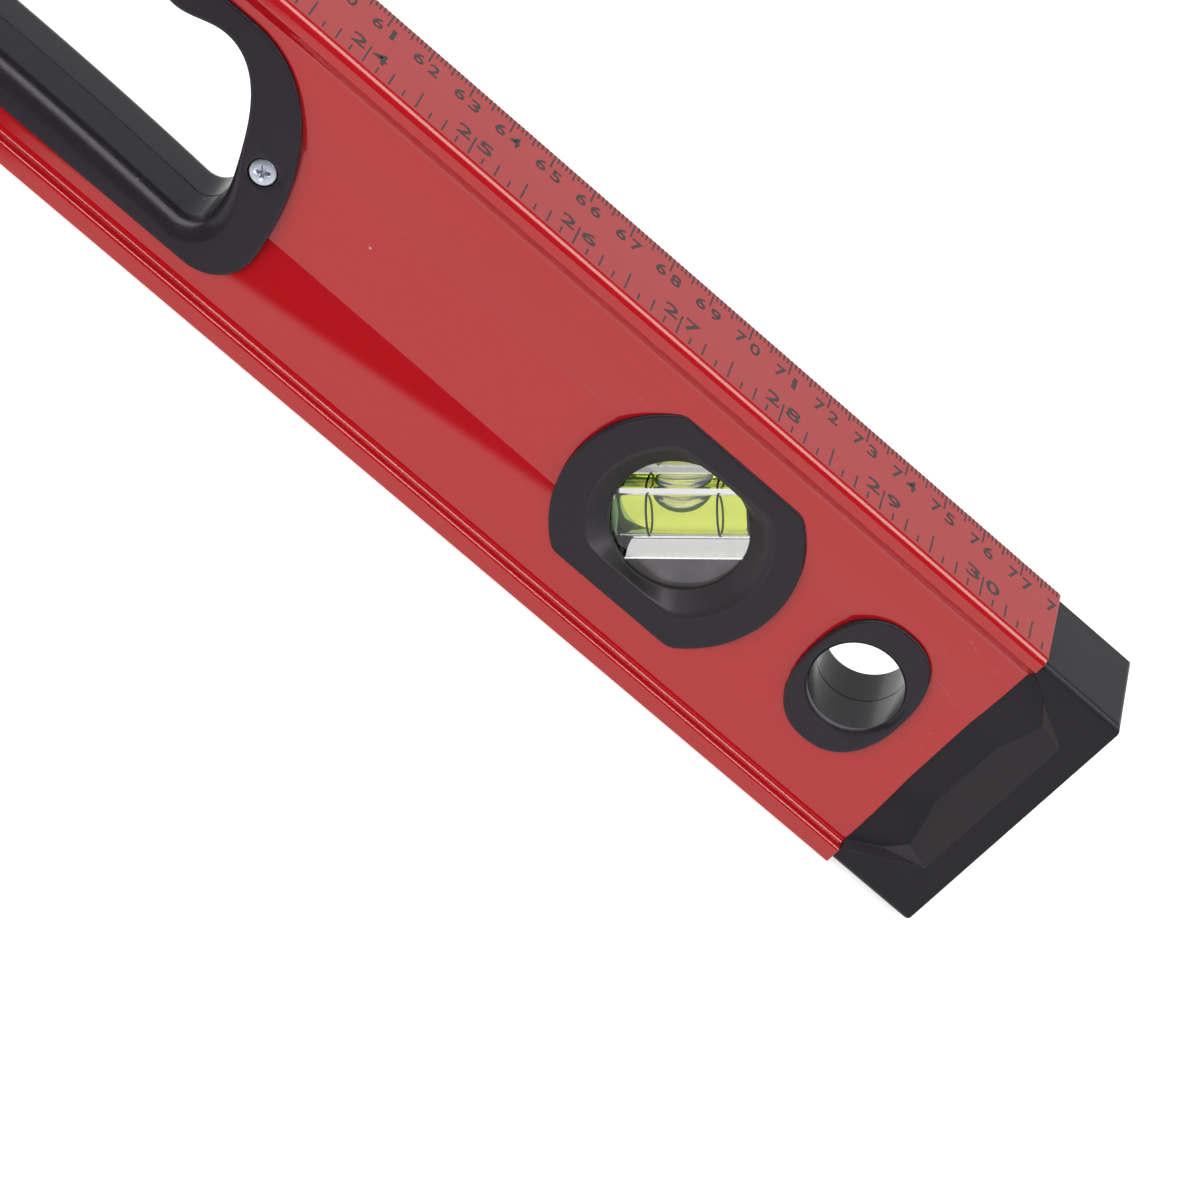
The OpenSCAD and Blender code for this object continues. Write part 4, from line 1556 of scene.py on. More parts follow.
@dataclass
class HandGrip:
    """One hand grip: its two mouldings and its two screws."""

    side: int
    label: str
    set_back: float = 2.0
    lining: float = 2.4
    under: float = 4.9
    edge: float = 0.5
    seam: float = 0.05
    seam_round: float = 0.22
    seam_mid: tuple[float, float] = (0.06, 0.08)
    fall: float = 0.6
    fall_front: float = 0.9
    fall_back: float = -0.2
    fall_height: float = 12.0
    screw_from_end: float = 9.5
    screw_up: float = 1.5
    head_radius: float = 2.8
    head_height: float = 1.6
    head_gap: float = 0.14
    head_set: float = 0.1
    head_drop: float = 0.62
    head_top: tuple[tuple[float, float], ...] = (
        (1.9, 0.03), (2.35, 0.10), (2.62, 0.22), (2.76, 0.40)
    )
    head_lift: float = 0.02
    cross_turn: float = 0.5
    cross_hub: float = 0.62
    cross_arm: float = 0.93
    cross_narrow: float = 0.42
    cross_power: float = 0.75
    cross_deep: tuple[float, float] = (1.15, 0.95)
    pocket: tuple[tuple[float, float], ...] = ((0.22, 0.0), (0.06, 0.07), (0.0, 0.24))
    shank: tuple[tuple[float, float], ...] = ((1.6, -0.02), (1.6, 16.5), (0.5, 17.9))
    count: int = 300

    @property
    def x(self) -> float:
        """Place of the grip's middle along the level."""
        return self.side * BODY.grip_x

    @property
    def face(self) -> float:
        """Distance of the flange's face from the middle plane."""
        return BODY.half_t - self.set_back

    @property
    def screw_z(self) -> float:
        """Height of the screws."""
        return BODY.mid_z + self.screw_up

    def screw_places(self) -> list[float]:
        """Return the screws' places along the level."""
        off = HandHole().length / 2 - self.screw_from_end
        return [self.x - off, self.x + off]

    def moulding(self, side: Side, finishes: Finishes) -> Object:
        """Build one half of the grip.

        Args:
            side: Front or back.
            finishes: The finishes to dress it in.

        Returns:
            The moulding.
        """
        form = HandHole()
        hole = even(form.hole(), self.count)
        flange = even(form.flange(), 240)
        radius = form.mouth(hole[:, 1])
        shell = Shell()

        def lay(outline: Outline, forward: float | np.ndarray) -> np.ndarray:
            """Place an outline of the grip on this side."""
            return at_forward(outline, forward, side, self.x)

        up = (hole[:, 1] - form.hole_low + form.belly) / self.fall_height
        up = np.clip(up, 0, 1)
        low = 1 - up * up * (3 - 2 * up)
        more = self.fall_front if side is Side.FRONT else self.fall_back

        def bored(wider: float | np.ndarray, forward: float | np.ndarray) -> np.ndarray:
            """Place the hole, whose floor falls away along the level's thickness."""
            outline = grown(hole, wider)
            outline[:, 1] -= (self.fall + more * forward / self.face) * low
            return lay(outline, forward)

        middle = (self.seam_mid[0], self.seam + self.seam_mid[1])
        ends = ((self.seam_round, self.seam), (0.0, self.seam + self.seam_round))
        inner = [bored(*ring) for ring in (ends[0], middle, ends[1])]
        for turn in np.radians(np.linspace(90, 0, 11)):
            out = radius * (1 - math.sin(turn))
            drop = radius * (1 - math.cos(turn))
            inner.append(bored(out, self.face - drop))
        back = BODY.half_t - self.under
        outer = flange_rings(flange, self.face, back, self.edge)
        lining = grown(hole, self.lining)
        inner_rings = shell.stack(inner)
        outer_rings = shell.stack(lay(*ring) for ring in outer)
        skirt_rings = shell.stack(lay(lining, forward) for forward in (back, self.seam))
        pockets = self.screw_pockets(shell, side)
        shell.fill([outer_rings[0], inner_rings[-1], *pockets])
        shell.fill([outer_rings[-1], skirt_rings[0]])
        shell.loft(skirt_rings[-1], inner_rings[0])
        name = f"grip_{self.label}_{side.name.lower()}_moulding"
        made = shell.build(name, [finishes.grip], crease=40)
        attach(made, ROOT_BODY)
        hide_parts(f"grip_{self.label}_{side.name.lower()}")
        return made

    def screw_pockets(self, shell: Shell, side: Side) -> list[list[int]]:
        """Sink the screws' seats, or their plain closed bosses at the back."""
        if side is Side.BACK:
            return []
        rims = []
        wide = self.head_radius + self.head_gap
        rim = (*self.pocket, (0.0, self.head_height))
        for x in self.screw_places():
            rings = shell.stack(
                at_forward(
                    circle(wide + more, 56), self.face - drop, side, x, self.screw_z
                )
                for more, drop in rim
            )
            shell.fill([rings[-1]])
            rims.append(rings[0])
        return rims

    def screw(self, x: float, name: str, node: str, finishes: Finishes) -> Object:
        """Build a pan-head screw with a cross recess.

        Args:
            x: Place along the level.
            name: Name of the piece.
            node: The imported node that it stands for.
            finishes: The finishes to dress it in.

        Returns:
            The screw.
        """
        shell = Shell()
        turn = full_turn(96)
        top, foot = self.face - self.head_set, self.face - self.head_height
        arms = np.abs(np.cos(2 * (turn - self.cross_turn))) - self.cross_narrow
        arms = np.clip(arms / (1 - self.cross_narrow), 0, 1) ** self.cross_power
        cross = self.cross_hub + self.cross_arm * arms
        tip, floor = (top - deep for deep in self.cross_deep)
        rings = [(0.22, tip), (cross * 0.76, floor), (cross, top - 0.12)]
        rings += [(cross * 1.08 + 0.03, top - 0.02)]
        rings += [(np.maximum(cross * 1.04 + 0.12, 1.3), top)]
        rings += [(r, top - drop) for r, drop in self.head_top]
        rings += [(self.head_radius, top - self.head_drop)]
        rings += [(self.head_radius, foot + self.head_lift)]
        rings += [(r, foot - drop) for r, drop in self.shank]

        def lay(radius: float | np.ndarray, forward: float) -> np.ndarray:
            """Place a ring of the screw."""
            outline = np.reshape(radius, (-1, 1)) * ways(turn)
            return at_forward(outline, forward, Side.FRONT, x, self.screw_z)

        shell.solid(lay(*ring) for ring in rings)
        screw = shell.build(name, [finishes.zinc], crease=38)
        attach(screw, ROOT_BODY)
        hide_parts(node)
        return screw

    def build(self, finishes: Finishes) -> list[Object]:
        """Build both mouldings and both screws."""
        made = [self.moulding(side, finishes) for side in Side]
        ends = ("outer", "inner") if self.side < 0 else ("inner", "outer")
        for x, end in zip(self.screw_places(), ends):
            node = f"grip_screw_{self.label}_{end}"
            made.append(self.screw(x, f"{node}_head", node, finishes))
        return made


@dataclass
class VialHousing:
    """The two mouldings that hold one vial and frame its window."""

    label: str
    x: float
    turn: VialTurn
    set_back: float = 2.8
    ledge: float = 2.5
    recess_radius: float = 17.6
    recess_flat: float = 14.2
    recess_crisp: float = 40.0
    recess_soft: tuple[float, float] = (0.2, 1.5)
    softest_at: float = 40.0
    soft_share: float = 0.6
    window: float = 13.65
    window_edge: tuple[float, float, float] = (0.06, 0.01, 0.08)
    rim: float = 0.15
    ring_thick: float = 1.4
    step: float = 0.4
    block: tuple[float, float, float] = (29.0, 14.0, 15.0)
    block_gap: float = 0.05
    cradle_radius: float = 15.1
    shell_wall: float = 1.6
    edge: float = 0.45
    under: float = 4.9
    seam: float = 0.04
    count: int = 200

    def moulding(self, side: Side, finishes: Finishes) -> Object:
        """Build one half of the housing.

        Args:
            side: Front or back.
            finishes: The finishes to dress it in.

        Returns:
            The moulding.
        """
        shell = Shell()
        form = HousingForm()
        face = BODY.half_t - self.set_back
        back = BODY.half_t - self.under
        seat_f = self.block[1] / 2 + self.block_gap
        window_f = seat_f + self.ring_thick

        def lay(outline: Outline, forward: float | np.ndarray) -> np.ndarray:
            """Place an outline of the housing on this side."""
            return at_forward(outline, forward, side, self.x, BODY.mid_z)

        flange = form.outline(0.0, self.count)
        outer = flange_rings(flange, face, back, self.edge)
        skirt_line = form.outline(-self.ledge, self.count)
        inner_line = form.outline(-self.ledge - self.shell_wall, self.count)
        skirt = [(skirt_line, back), (skirt_line, self.seam)]
        skirt += [(inner_line, self.seam), (inner_line, seat_f - self.step)]
        mouth = self.recess_rings(face, window_f)
        window = circle(self.window, self.count)
        lining = circle(self.window + self.shell_wall, self.count)
        mouth += [(window, window_f - self.window_edge[2]), (window, seat_f)]
        mouth += [(lining, seat_f), (lining, seat_f - self.step)]
        outer_rings = shell.stack(lay(*ring) for ring in outer)
        skirt_rings = shell.stack(lay(*ring) for ring in skirt)
        well_rings = shell.stack((lay(*ring) for ring in mouth), 1)
        shell.fill([outer_rings[0], well_rings[0]])
        shell.fill([outer_rings[-1], skirt_rings[0]])
        shell.fill([skirt_rings[-1], well_rings[-1]])
        name = f"{self.label}_housing_{side.name.lower()}_moulding"
        made = shell.build(name, [finishes.housing, finishes.textured], crease=30)
        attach(made, ROOT_BODY)
        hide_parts(f"{self.label}_housing_{side.name.lower()}")
        return made

    def recess_rings(
        self, face: float, window_f: float
    ) -> list[tuple[Outline, float | np.ndarray]]:
        """Return the recess as (outline, forward) from the face to the window."""
        turn = full_turn(self.count)
        way = ways(turn)
        flat = self.recess_flat / np.maximum(np.abs(way[:, 1]), 0.01)
        crisp = self.recess_crisp
        reach = (self.recess_radius**-crisp + flat**-crisp) ** (-1 / crisp)
        foot = self.window + self.rim
        fall = face - window_f
        low, high = self.recess_soft
        facing = np.cos(turn - math.radians(self.softest_at))
        soft = low + (high - low) * (1 + facing) / 2
        share = np.minimum(soft / np.hypot(reach - foot, fall), self.soft_share)
        rings = []
        for t in np.linspace(0, 1, 9):
            wall = reach - share * (reach - foot)
            out = (1 - t) ** 2 * (reach + soft) + 2 * t * (1 - t) * reach + t * t * wall
            rings.append((out[:, None] * way, face - t * t * share * fall))
        for t in np.linspace(0.2, 1, 5):
            part = share + (1 - share) * t
            out = reach - part * (reach - foot)
            rings.append((out[:, None] * way, face - part * fall))
        wide, drop, _ = self.window_edge
        rings.append(((self.window + wide) * way, window_f - drop))
        return rings

    def cradle(self, finishes: Finishes) -> Object:
        """Build the polished rest under the block, between the two mouldings, with
        painted reflections in pale patches and a seat whose glow is painted light.
        """
        reach = self.block[1] / 2 - 0.1
        low = -self.block[2] / 2 - self.block_gap
        start = math.degrees(math.asin(low / self.cradle_radius))
        edge = arc((0, 0), self.cradle_radius, -180 - start, start, 40)
        shell = Shell()
        soft, flat = grown(edge, -0.15), reach - 0.15
        layers = ((soft, -reach), (edge, -flat), (edge, flat), (soft, reach))
        rings = shell.stack(self.in_vial(at_y(flat, y)) for flat, y in layers)
        # The seat faces take the pale seat, whose glow is painted light.
        seat = {0, len(edge) - 1}
        turned = [{v % len(edge) for v in face} for face in shell.faces]
        shell.tones = [int(places == seat) for places in turned]
        shell.fill([rings[0]])
        shell.fill([rings[-1]])
        name = f"{self.label}_housing_cradle"
        made = shell.build(name, [finishes.polished, finishes.seat], crease=30)
        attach(made, ROOT_BODY)
        return made

    def in_vial(self, points: np.ndarray) -> np.ndarray:
        """Return points of the vial's own frame in the level's frame."""
        a = math.radians(self.turn.value)
        x, y, z = points.T
        along = self.x + x * math.cos(a) - z * math.sin(a)
        up = BODY.mid_z + x * math.sin(a) + z * math.cos(a)
        return np.column_stack([along, y, up])


@dataclass
class Vial:
    """A clear block with its chamber of liquid, its bubble and its two lines."""

    housing: VialHousing
    radius: float = 4.4
    chamber: float = 25.0
    chamber_more: float = 0.9
    axis_drop: float = 0.4
    dome: float = 0.5
    line_gap: float = 13.8
    line_width: float = 0.45
    line_thick: float = 0.1
    bubble_length: float = 10.7
    bubble_depth: float = 2.25
    bubble_gap: float = 0.12
    # Sizes of the painted-shade band round the bubble.
    outline_wide: tuple[float, float] = (0.42, 0.16)
    outline_deep: tuple[float, float] = (0.05, 0.03)
    # Sizes of the painted shade at the chamber's blind end.
    shade_least: float = 0.9
    shade_more: float = 4.7
    shade_end: float = 7.0
    line_foot: float = 0.02
    plug_gap: float = 0.04
    plug_edge: float = 0.1
    block_edge: float = 0.22

    def piece(
        self,
        shell: Shell,
        part: str,
        body: str,
        materials: list[Material],
        slot: str,
        crease: float = 40,
    ) -> Object:
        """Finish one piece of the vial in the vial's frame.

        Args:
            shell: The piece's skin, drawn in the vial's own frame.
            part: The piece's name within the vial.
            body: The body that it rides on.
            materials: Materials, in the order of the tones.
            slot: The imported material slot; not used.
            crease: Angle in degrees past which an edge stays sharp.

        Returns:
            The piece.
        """
        points = np.array(shell.points)
        if part != "block":
            points[:, 2] -= self.axis_drop
        shell.points = [tuple(p) for p in self.housing.in_vial(points)]
        label = self.housing.label
        made = shell.build(f"{label}_vial_{part}_body", materials, crease=crease)
        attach(made, body)
        node = {"block": "vial_block", "plug": "vial_plug", "lines": "line_rings"}
        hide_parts(f"{label}_{node.get(part, part)}")
        return made

    def block(self, finishes: Finishes) -> Object:
        """Build the clear block with its edges broken."""
        long, thick, high = (s / 2 for s in self.housing.block)
        e = self.block_edge
        shell = Shell()
        shell.solid(
            at_y(box_outline(long - inset, high - inset), y)
            for y, inset in ((-thick, e), (-thick + e, 0), (thick - e, 0), (thick, e))
        )
        return self.piece(
            shell, "block", ROOT_BODY, [finishes.acrylic], "clear_acrylic", 10
        )

    def along(
        self, profile: Sequence[tuple[float | np.ndarray, float]], shaded: int = 0
    ) -> Shell:
        """Return a form turned round the vial's axis.

        Args:
            profile: Pairs of a place along the axis and a radius there.
            shaded: How many of the first rings get the second material.

        Returns:
            The closed skin.
        """
        shell = Shell()
        way = self.way()
        rings = [shell.ring(at_x(r * way, x)) for x, r in profile]
        for k, (first, second) in enumerate(zip(rings, rings[1:])):
            shell.loft(first, second, int(k + 1 < shaded))
        shell.fill([rings[0]], int(shaded > 0))
        shell.fill([rings[-1]])
        return shell

    @staticmethod
    def way() -> np.ndarray:
        """Return the directions of the points round the vial's axis."""
        return circle(1.0, 72)

    def liquid(self, finishes: Finishes) -> Object:
        """Build the liquid, with a painted shade: a darker green crescent at the
        chamber's blind end.
        """
        half, r = self.chamber / 2, self.radius
        end = -half - self.chamber_more
        depth = (1 - self.way()[:, 1]) / 2
        # The crescent bounds the painted shade.
        crescent = end + self.shade_least + self.shade_more * depth**4
        dome = rounded_edge(self.dome, 4)
        profile = [(end + drop, r - inset) for inset, drop in dome]
        shaded = len(profile) + 1
        profile += [(crescent, r), (end + self.shade_end, r)]
        profile += [(half - 0.3, r), (half, r - 0.25), (half + 0.01, 0.4)]
        form, looks = self.along(profile, shaded), [finishes.liquid, finishes.shade]
        return self.piece(form, "liquid", ROOT_BODY, looks, "vial_liquid", 50)

    def bubble(self, finishes: Finishes) -> Object:
        """Build the bubble: the top of the bore, cut off by a bowl from below."""
        r = self.radius - self.bubble_gap
        half, deep = self.bubble_length / 2, self.bubble_depth
        ball = (half**2 + deep**2) / (2 * deep)
        low = r - deep
        count_x, count_a = 48, 20
        shell = Shell()
        rings = []
        for u in np.linspace(-1, 1, count_x + 1)[1:-1]:
            x = half * math.sin(u * math.pi / 2)
            floor = low + ball - math.sqrt(max(ball**2 - x * x, 0))
            half_turn = math.acos(min(1.0, floor / r))
            a = np.linspace(-half_turn, half_turn, count_a)
            top = np.column_stack([r * np.sin(a), r * np.cos(a)])
            side = r * math.sin(half_turn)
            b = np.linspace(side, -side, count_a)[1:-1]
            curve_x = np.sqrt(np.maximum(ball**2 - x * x - b * b, 0))
            under = np.column_stack([b, np.minimum(low + ball - curve_x, floor + 0.4)])
            rings.append(at_x(np.vstack([top, under]), x))
        shell.solid(rings)
        self.outline(shell, low, ball)
        body = f"{self.housing.label}_bubble"
        return self.piece(
            shell, "bubble", body, [finishes.gas, finishes.outline], "bubble", 60
        )

    def outline(self, shell: Shell, low: float, ball: float) -> None:
        """Add the bubble's outline, a painted shade: a dark green band for the dark
        edge that refraction draws where the liquid meets the bore.

        Args:
            shell: The bubble's skin.
            low: Height of the bubble's bottom.
            ball: Radius of the bowl that bounds the bubble from below.
        """
        half = self.bubble_length / 2
        wide, narrow = self.outline_wide
        around = full_turn(8)
        under, deep = self.outline_deep
        radius = self.radius - under + deep * np.cos(around)
        rings = []
        for turn in full_turn(96):
            x = half * math.cos(turn)
            floor = low + ball - math.sqrt(ball**2 - x * x)
            lean = math.acos(min(1.0, floor / (self.radius - self.bubble_gap)))
            front = math.sin(turn)
            w = (narrow + (wide - narrow) * (1 + front) / 2) * np.sin(around)
            lean = -math.copysign(lean, front) - w * front / self.radius
            across, up = radius * np.sin(lean), radius * np.cos(lean)
            rings.append(np.column_stack([x + w * math.cos(turn), across, up]))
        shell.stack(rings, 1, closed=True)

    def lines(self, finishes: Finishes) -> Object:
        """Build the two line rings as closed bands round the bore."""
        shell = Shell()
        r, t, w = self.radius, self.line_thick, self.line_width / 2
        low = r + self.line_foot
        corners = ((-w, r + t), (w, r + t), (w, low), (-w, low))
        for x in (-self.line_gap / 2, self.line_gap / 2):
            rings = (at_x(radius * self.way(), x + off) for off, radius in corners)
            shell.stack(rings, closed=True)
        return self.piece(shell, "lines", ROOT_BODY, [finishes.rings], "line_black")

    def plug(self, finishes: Finishes) -> Object:
        """Build the plug that closes the chamber."""
        e, r = self.plug_edge, self.radius - self.plug_gap
        start = self.chamber / 2 + e
        end = self.housing.block[0] / 2 - 2 * e
        profile = [(start, r - e), (start + e, r), (end - e, r), (end, r - e)]
        form = self.along(profile)
        return self.piece(form, "plug", ROOT_BODY, [finishes.plug], "plug_acrylic")

    def build(self, finishes: Finishes) -> list[Object]:
        """Build the vial and the two mouldings round it."""
        made = [self.housing.moulding(side, finishes) for side in Side]
        made.append(self.housing.cradle(finishes))
        made += [self.block(finishes), self.liquid(finishes), self.bubble(finishes)]
        made += [self.lines(finishes), self.plug(finishes)]
        return made


@dataclass
class HangBush:
    """The two mouldings that line one hang hole."""

    side: int
    label: str
    width: float = 23.1
    height: float = 31.4
    power: float = 2.3
    bore: float = 9.3
    wall: float = 1.4
    set_back: float = 2.8
    mouth: float = 0.7
    mouth_form: tuple[tuple[float, float], ...] = (
        (1.1, 0.0), (0.97, 0.06), (0.1, 0.92), (0.0, 1.08)
    )
    seam_form: tuple[tuple[float, float], ...] = ((0.0, 0.2), (0.05, 0.06), (0.2, 0.0))
    edge: float = 0.4
    under: float = 4.9
    seam: float = 0.04
    count: int = 160

    def moulding(self, side: Side, finishes: Finishes) -> Object:
        """Build one half of the bush."""
        shell = Shell()
        x = self.side * BODY.hang_x
        face = BODY.half_t - self.set_back
        flange = even(soft_box(self.width, self.height, self.power, 400), self.count)
        back = BODY.half_t - self.under

        def lay(outline: Outline, forward: float) -> np.ndarray:
            """Place an outline of the bush on this side."""
            return at_forward(outline, forward, side, x, BODY.mid_z)

        m = self.mouth
        rings = [(m * out, face - m * drop) for out, drop in self.mouth_form]
        rings += [(out, self.seam + up) for out, up in self.seam_form]
        rings += [(self.wall, self.seam), (self.wall, back)]
        outer = flange_rings(flange, face, back, self.edge)
        outer_rings = shell.stack(lay(*ring) for ring in outer)
        bores = [(circle(self.bore + more, self.count), at) for more, at in rings]
        bore_rings = shell.stack(lay(*ring) for ring in bores)
        shell.fill([outer_rings[0], bore_rings[0]])
        shell.fill([outer_rings[-1], bore_rings[-1]])
        name = f"hang_bush_{self.label}_{side.name.lower()}_moulding"
        made = shell.build(name, [finishes.housing], crease=30)
        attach(made, ROOT_BODY)
        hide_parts(f"hang_bush_{self.label}_{side.name.lower()}")
        return made

    def build(self, finishes: Finishes) -> list[Object]:
        """Build both halves."""
        return [self.moulding(side, finishes) for side in Side]


@dataclass
class EndCap:
    """A moulded end cap, taken from its solid with every edge broken."""

    label: str
    packed: Object
    edge: float = 0.35
    flat_within: float = 1.5
    edge_from: float = 24.0
    slant: tuple[float, float] = (0.4, 0.65)
    front_least: float = 0.75

    def build(self, finishes: Finishes) -> list[Object]:
        """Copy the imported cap, clean its faces and round its edges."""
        mesh = self.packed.data.copy()
        mesh.name = f"end_cap_{self.label}_moulding"
        work = bmesh.new()
        work.from_mesh(mesh)
        bmesh.ops.remove_doubles(work, verts=work.verts, dist=2e-6)
        flat = math.radians(self.flat_within)
        bmesh.ops.dissolve_limit(
            work, angle_limit=flat, verts=work.verts, edges=work.edges
        )
        work.to_mesh(mesh)
        work.free()
        mesh.materials.clear()
        mesh.materials.append(finishes.cap)
        mesh.materials.append(finishes.textured)
        low, high = self.slant
        for face in mesh.polygons:
            sideways, forward = abs(face.normal.x), abs(face.normal.y)
            ribbed = low < sideways < high and forward > self.front_least
            face.material_index = int(ribbed)
        made = finish_mesh(mesh.name, mesh, 30)
        made.modifiers.clear()
        soften = made.modifiers.new("broken_edges", "BEVEL")
        soften.width = self.edge * MM
        soften.segments = 3
        soften.limit_method = "ANGLE"
        soften.angle_limit = math.radians(self.edge_from)
        soften.harden_normals = False
        even_out = made.modifiers.new("weighted_normals", "WEIGHTED_NORMAL")
        even_out.keep_sharp = True
        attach(made, ROOT_BODY)
        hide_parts(f"end_cap_{self.label}")
        return [made]


@dataclass
class BaseMagnets:
    """The disc magnets in the base, with their plated edges rounded."""

    radius: float = 7.0
    up: float = 0.1
    edge: float = 0.5

    def build(self, finishes: Finishes) -> list[Object]:
        """Build the four magnets."""
        names = ("left_outer", "left_inner", "right_inner", "right_outer")
        made = []
        for x, name in zip(BODY.magnet_x, names):
            edge = rounded_edge(self.edge, 4)
            profile = [(self.radius - inset, self.up + drop) for inset, drop in edge]
            profile += [
                (self.radius - inset, BODY.base - drop)
                for inset, drop in reversed(edge)
            ]
            shell = Shell()
            shell.solid(at_z(circle(r, 72) + [x, 0], z) for r, z in profile)
            piece = shell.build(f"magnet_{name}_disc", [finishes.nickel], crease=40)
            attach(piece, ROOT_BODY)
            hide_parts(f"magnet_{name}")
            made.append(piece)
        return made


# The studio


@dataclass
class Studio:
    """White floor, plain soft light and the surroundings that gloss shows."""

    floor_white: float = 0.80
    sky_strength: float = 0.55
    soft_box: float = 10.5
    low_white: float = 1.9
    far_white: float = 0.95
    floor_glow: float = 0.72
    bands: tuple[tuple[float, float], ...] = (
        (-60, 0.0), (50, 0.01), (60, 0.8), (72, 1.0),
        (88, 0.9), (103, 0.01), (134, 0.02),
    )
    far_angles: tuple[float, float] = (140, 180)
    aim: tuple[float, float, float] = (0.1, 0.0, 0.03)
    edge_angle: float = math.radians(-28.6)
    edge_lean: float = math.radians(141)
    edge_least: float = math.radians(-36)
    edge_soft: float = math.radians(2.4)

    def floor(self) -> Object:
        """Build the white floor, which gloss looks through."""
        corners = [(-3.0, -3.0), (3.0, -3.0), (3.0, 3.0), (-3.0, 3.0)]
        mesh = bpy.data.meshes.new("studio_floor")
        mesh.from_pydata([(x, y, -0.0004) for x, y in corners], [], [(0, 1, 2, 3)])
        made = bpy.data.objects.new("studio_floor", mesh)
        bpy.context.scene.collection.objects.link(made)
        material = bpy.data.materials.new("floor_white")
        material.use_nodes = True
        tree = material.node_tree
        tree.nodes.clear()
        colour = {"Color": grey(self.floor_white)}
        matt = add_node(tree, "ShaderNodeBsdfDiffuse", colour)
        path = add_node(tree, "ShaderNodeLightPath")
        shine = maths(tree, "MULTIPLY", self.seen(tree, path), self.floor_glow)
        glow = add_node(tree, "ShaderNodeEmission", {"Strength": shine})
        both = {0: matt.outputs[0], 1: glow.outputs[0]}
        both = add_node(tree, "ShaderNodeAddShader", both)
        clear = add_node(tree, "ShaderNodeBsdfTransparent")
        self.choose(tree, path, both, clear, "ShaderNodeOutputMaterial")
        mesh.materials.append(material)
        return made

    @staticmethod
    def seen(tree: NodeTree, path: Node) -> NodeSocket:
        """Return 1 for a ray from the camera, also for one through clear stuff."""
        rays = (path.outputs["Is Camera Ray"], path.outputs["Is Transmission Ray"])
        return maths(tree, "ADD", *rays, clamp=True)

    def choose(
        self, tree: NodeTree, path: Node, plain: Node, gloss: Node, kind: str
    ) -> None:
        """End a tree in one shader for gloss and another for all other rays.

        Args:
            tree: The tree.
            path: Its Light Path node.
            plain: The shader for all other rays.
            gloss: The shader that gloss shows.
            kind: Type of the output node.
        """
        feeds = {
            "Fac": self.mirrored(tree, path), 1: plain.outputs[0], 2: gloss.outputs[0]
        }
        chosen = add_node(tree, "ShaderNodeMixShader", feeds)
        add_node(tree, kind, {"Surface": chosen.outputs[0]})

    @staticmethod
    def mirrored(tree: NodeTree, path: Node) -> NodeSocket:
        """Return 1 for a ray off a glossy surface, 0 for one through clear stuff."""
        through = maths(tree, "SUBTRACT", 1.0, path.outputs["Is Transmission Ray"])
        return maths(tree, "MULTIPLY", path.outputs["Is Glossy Ray"], through)

    def surroundings(self) -> None:
        """Build the world: white to look at, soft light, banded for gloss."""
        world = bpy.data.worlds.new("studio_surroundings")
        bpy.context.scene.world = world
        world.use_nodes = True
        tree = world.node_tree
        tree.nodes.clear()
        path = add_node(tree, "ShaderNodeLightPath")
        way = add_node(tree, "ShaderNodeTexCoord").outputs["Generated"]
        split = add_node(tree, "ShaderNodeSeparateXYZ", {"Vector": way})
        front = maths(tree, "MULTIPLY", split.outputs["Y"], -1.0)
        angle = maths(tree, "ARCTAN2", split.outputs["Z"], front)
        share = maths(tree, "MULTIPLY_ADD", angle, 1 / (2 * math.pi), 0.5)
        far = self.far_white / self.soft_box
        bands = [*self.bands, *((degrees, far) for degrees in self.far_angles)]
        stops = [(0.5 + degrees / 360, grey(value)) for degrees, value in bands]
        upper = maths(tree, "MULTIPLY", ramp(tree, share, stops), self.soft_box)
        lean = maths(
            tree, "MULTIPLY_ADD", split.outputs["X"], self.edge_lean, self.edge_angle
        )
        lean = maths(tree, "MAXIMUM", lean, self.edge_least)
        lean = maths(tree, "MINIMUM", lean, -0.05)
        above = maths(tree, "SUBTRACT", angle, lean)
        below = -1 / self.edge_soft
        lower = maths(tree, "MULTIPLY_ADD", above, below, 0.5, clamp=True)
        lower = maths(tree, "MULTIPLY", lower, self.low_white)
        strength = {"Strength": maths(tree, "MAXIMUM", upper, lower)}
        gloss = add_node(tree, "ShaderNodeBackground", strength)
        more, least = 1.0 - self.sky_strength, self.sky_strength
        light = maths(tree, "MULTIPLY_ADD", self.seen(tree, path), more, least)
        feeds = {"Color": grey(1.0), "Strength": light}
        plain = add_node(tree, "ShaderNodeBackground", feeds)
        self.choose(tree, path, plain, gloss, "ShaderNodeOutputWorld")

    def lamp(
        self,
        name: str,
        place: tuple[float, float, float],
        size: tuple[float, float],
        power: float,
    ) -> None:
        """Add a rectangular lamp that points at the level and that gloss misses.

        Args:
            name: Name of the lamp.
            place: Where it hangs, in metres.
            size: Width and height in metres.
            power: Power in watts.
        """
        data = bpy.data.lights.new(name, "AREA")
        data.shape = "RECTANGLE"
        data.size, data.size_y = size
        data.energy = power
        lamp = bpy.data.objects.new(name, data)
        bpy.context.scene.collection.objects.link(lamp)
        lamp.location = place
        to = Vector(self.aim) - Vector(place)
        lamp.rotation_euler = to.to_track_quat("-Z", "Y").to_euler()
        lamp.visible_camera = False
        lamp.visible_glossy = False

    def build(self) -> None:
        """Build the floor, the surroundings and the lamps."""
        self.floor()
        self.surroundings()
        self.lamp("front_fill", (-0.7, -1.5, 0.8), (1.4, 1.2), 18.0)
        self.lamp("top_soft", (0.1, 0.0, 1.3), (1.8, 0.9), 5.0)


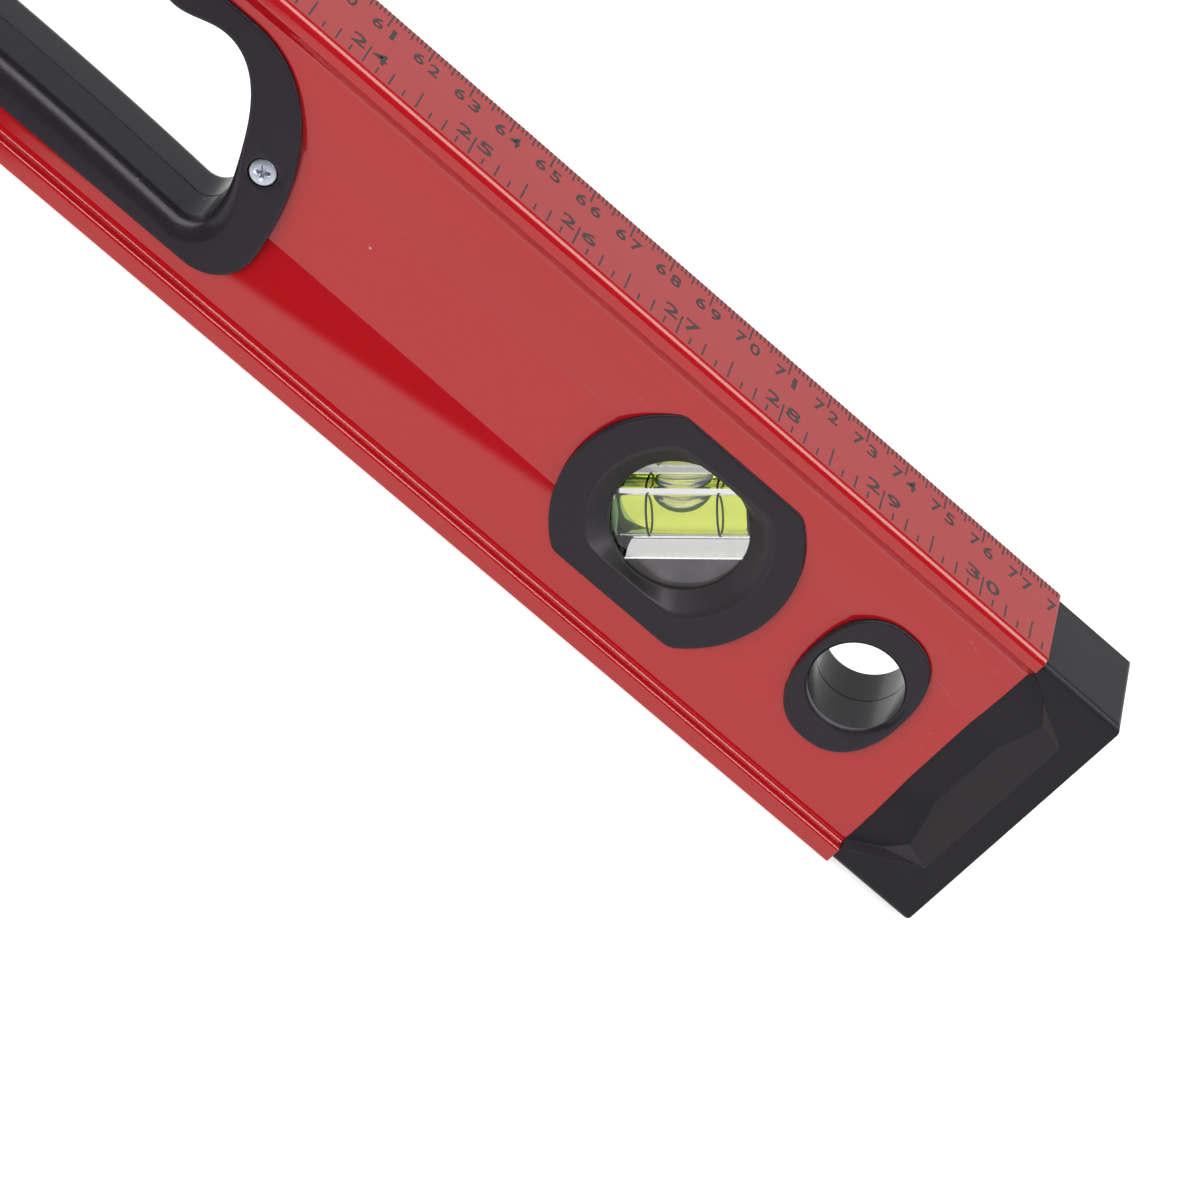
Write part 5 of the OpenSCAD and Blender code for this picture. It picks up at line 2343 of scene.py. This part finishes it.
@dataclass
class CameraRig:
    """The camera at the photograph's place, which fitted points of the level gave."""

    place: tuple[float, float, float] = (0.166696, -0.724020, 0.386518)
    right: tuple[float, float, float] = (0.75085184, 0.18228812, 0.63481694)
    down: tuple[float, float, float] = (0.63622749, -0.4576478, -0.62110633)
    ahead: tuple[float, float, float] = (0.17730227, 0.87024682, -0.45960241)
    lens: float = 128.25
    sensor: float = 36.0

    def build(self) -> None:
        """Create the camera and make it the scene's own."""
        data = bpy.data.cameras.new("photo_camera")
        data.lens = self.lens
        data.sensor_width = self.sensor
        data.clip_start = 0.01
        camera = bpy.data.objects.new("photo_camera", data)
        bpy.context.scene.collection.objects.link(camera)
        x, y, z = Vector(self.right), -Vector(self.down), -Vector(self.ahead)
        turn = Matrix((x, y, z)).transposed()
        camera.matrix_world = Matrix.Translation(self.place) @ turn.to_4x4()
        bpy.context.scene.camera = camera


def main() -> None:
    """Load the frame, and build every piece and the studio."""
    logging.basicConfig(level=logging.INFO, format="%(name)s: %(message)s")
    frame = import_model()
    CameraRig().build()
    finishes = Finishes()
    caps = {side: frame["nodes"][f"end_cap_{side}"] for side in ("left", "right")}
    steps: list[tuple[str, SubAssembly]] = [
        ("box section", BoxSection()),
        ("printed scale", PrintedScale()),
        ("left grip", HandGrip(-1, "left")),
        ("right grip", HandGrip(1, "right")),
        ("plumb vial", Vial(VialHousing("plumb", -BODY.vial_x, VialTurn.UPRIGHT))),
        ("level vial", Vial(VialHousing("level", 0.0, VialTurn.LEVEL))),
        ("angle vial", Vial(VialHousing("angle", BODY.vial_x, VialTurn.SLANTED))),
        ("left hang bush", HangBush(-1, "left")),
        ("right hang bush", HangBush(1, "right")),
        ("left end cap", EndCap("left", caps["left"])),
        ("right end cap", EndCap("right", caps["right"])),
        ("base magnets", BaseMagnets()),
    ]
    for label, part in steps:
        for made in part.build(finishes):
            LOG.info("%s: %s, %d faces", label, made.name, len(made.data.polygons))
    Studio().build()
    bpy.context.scene.view_settings.view_transform = "Standard"


if __name__ == "__main__":
    main()
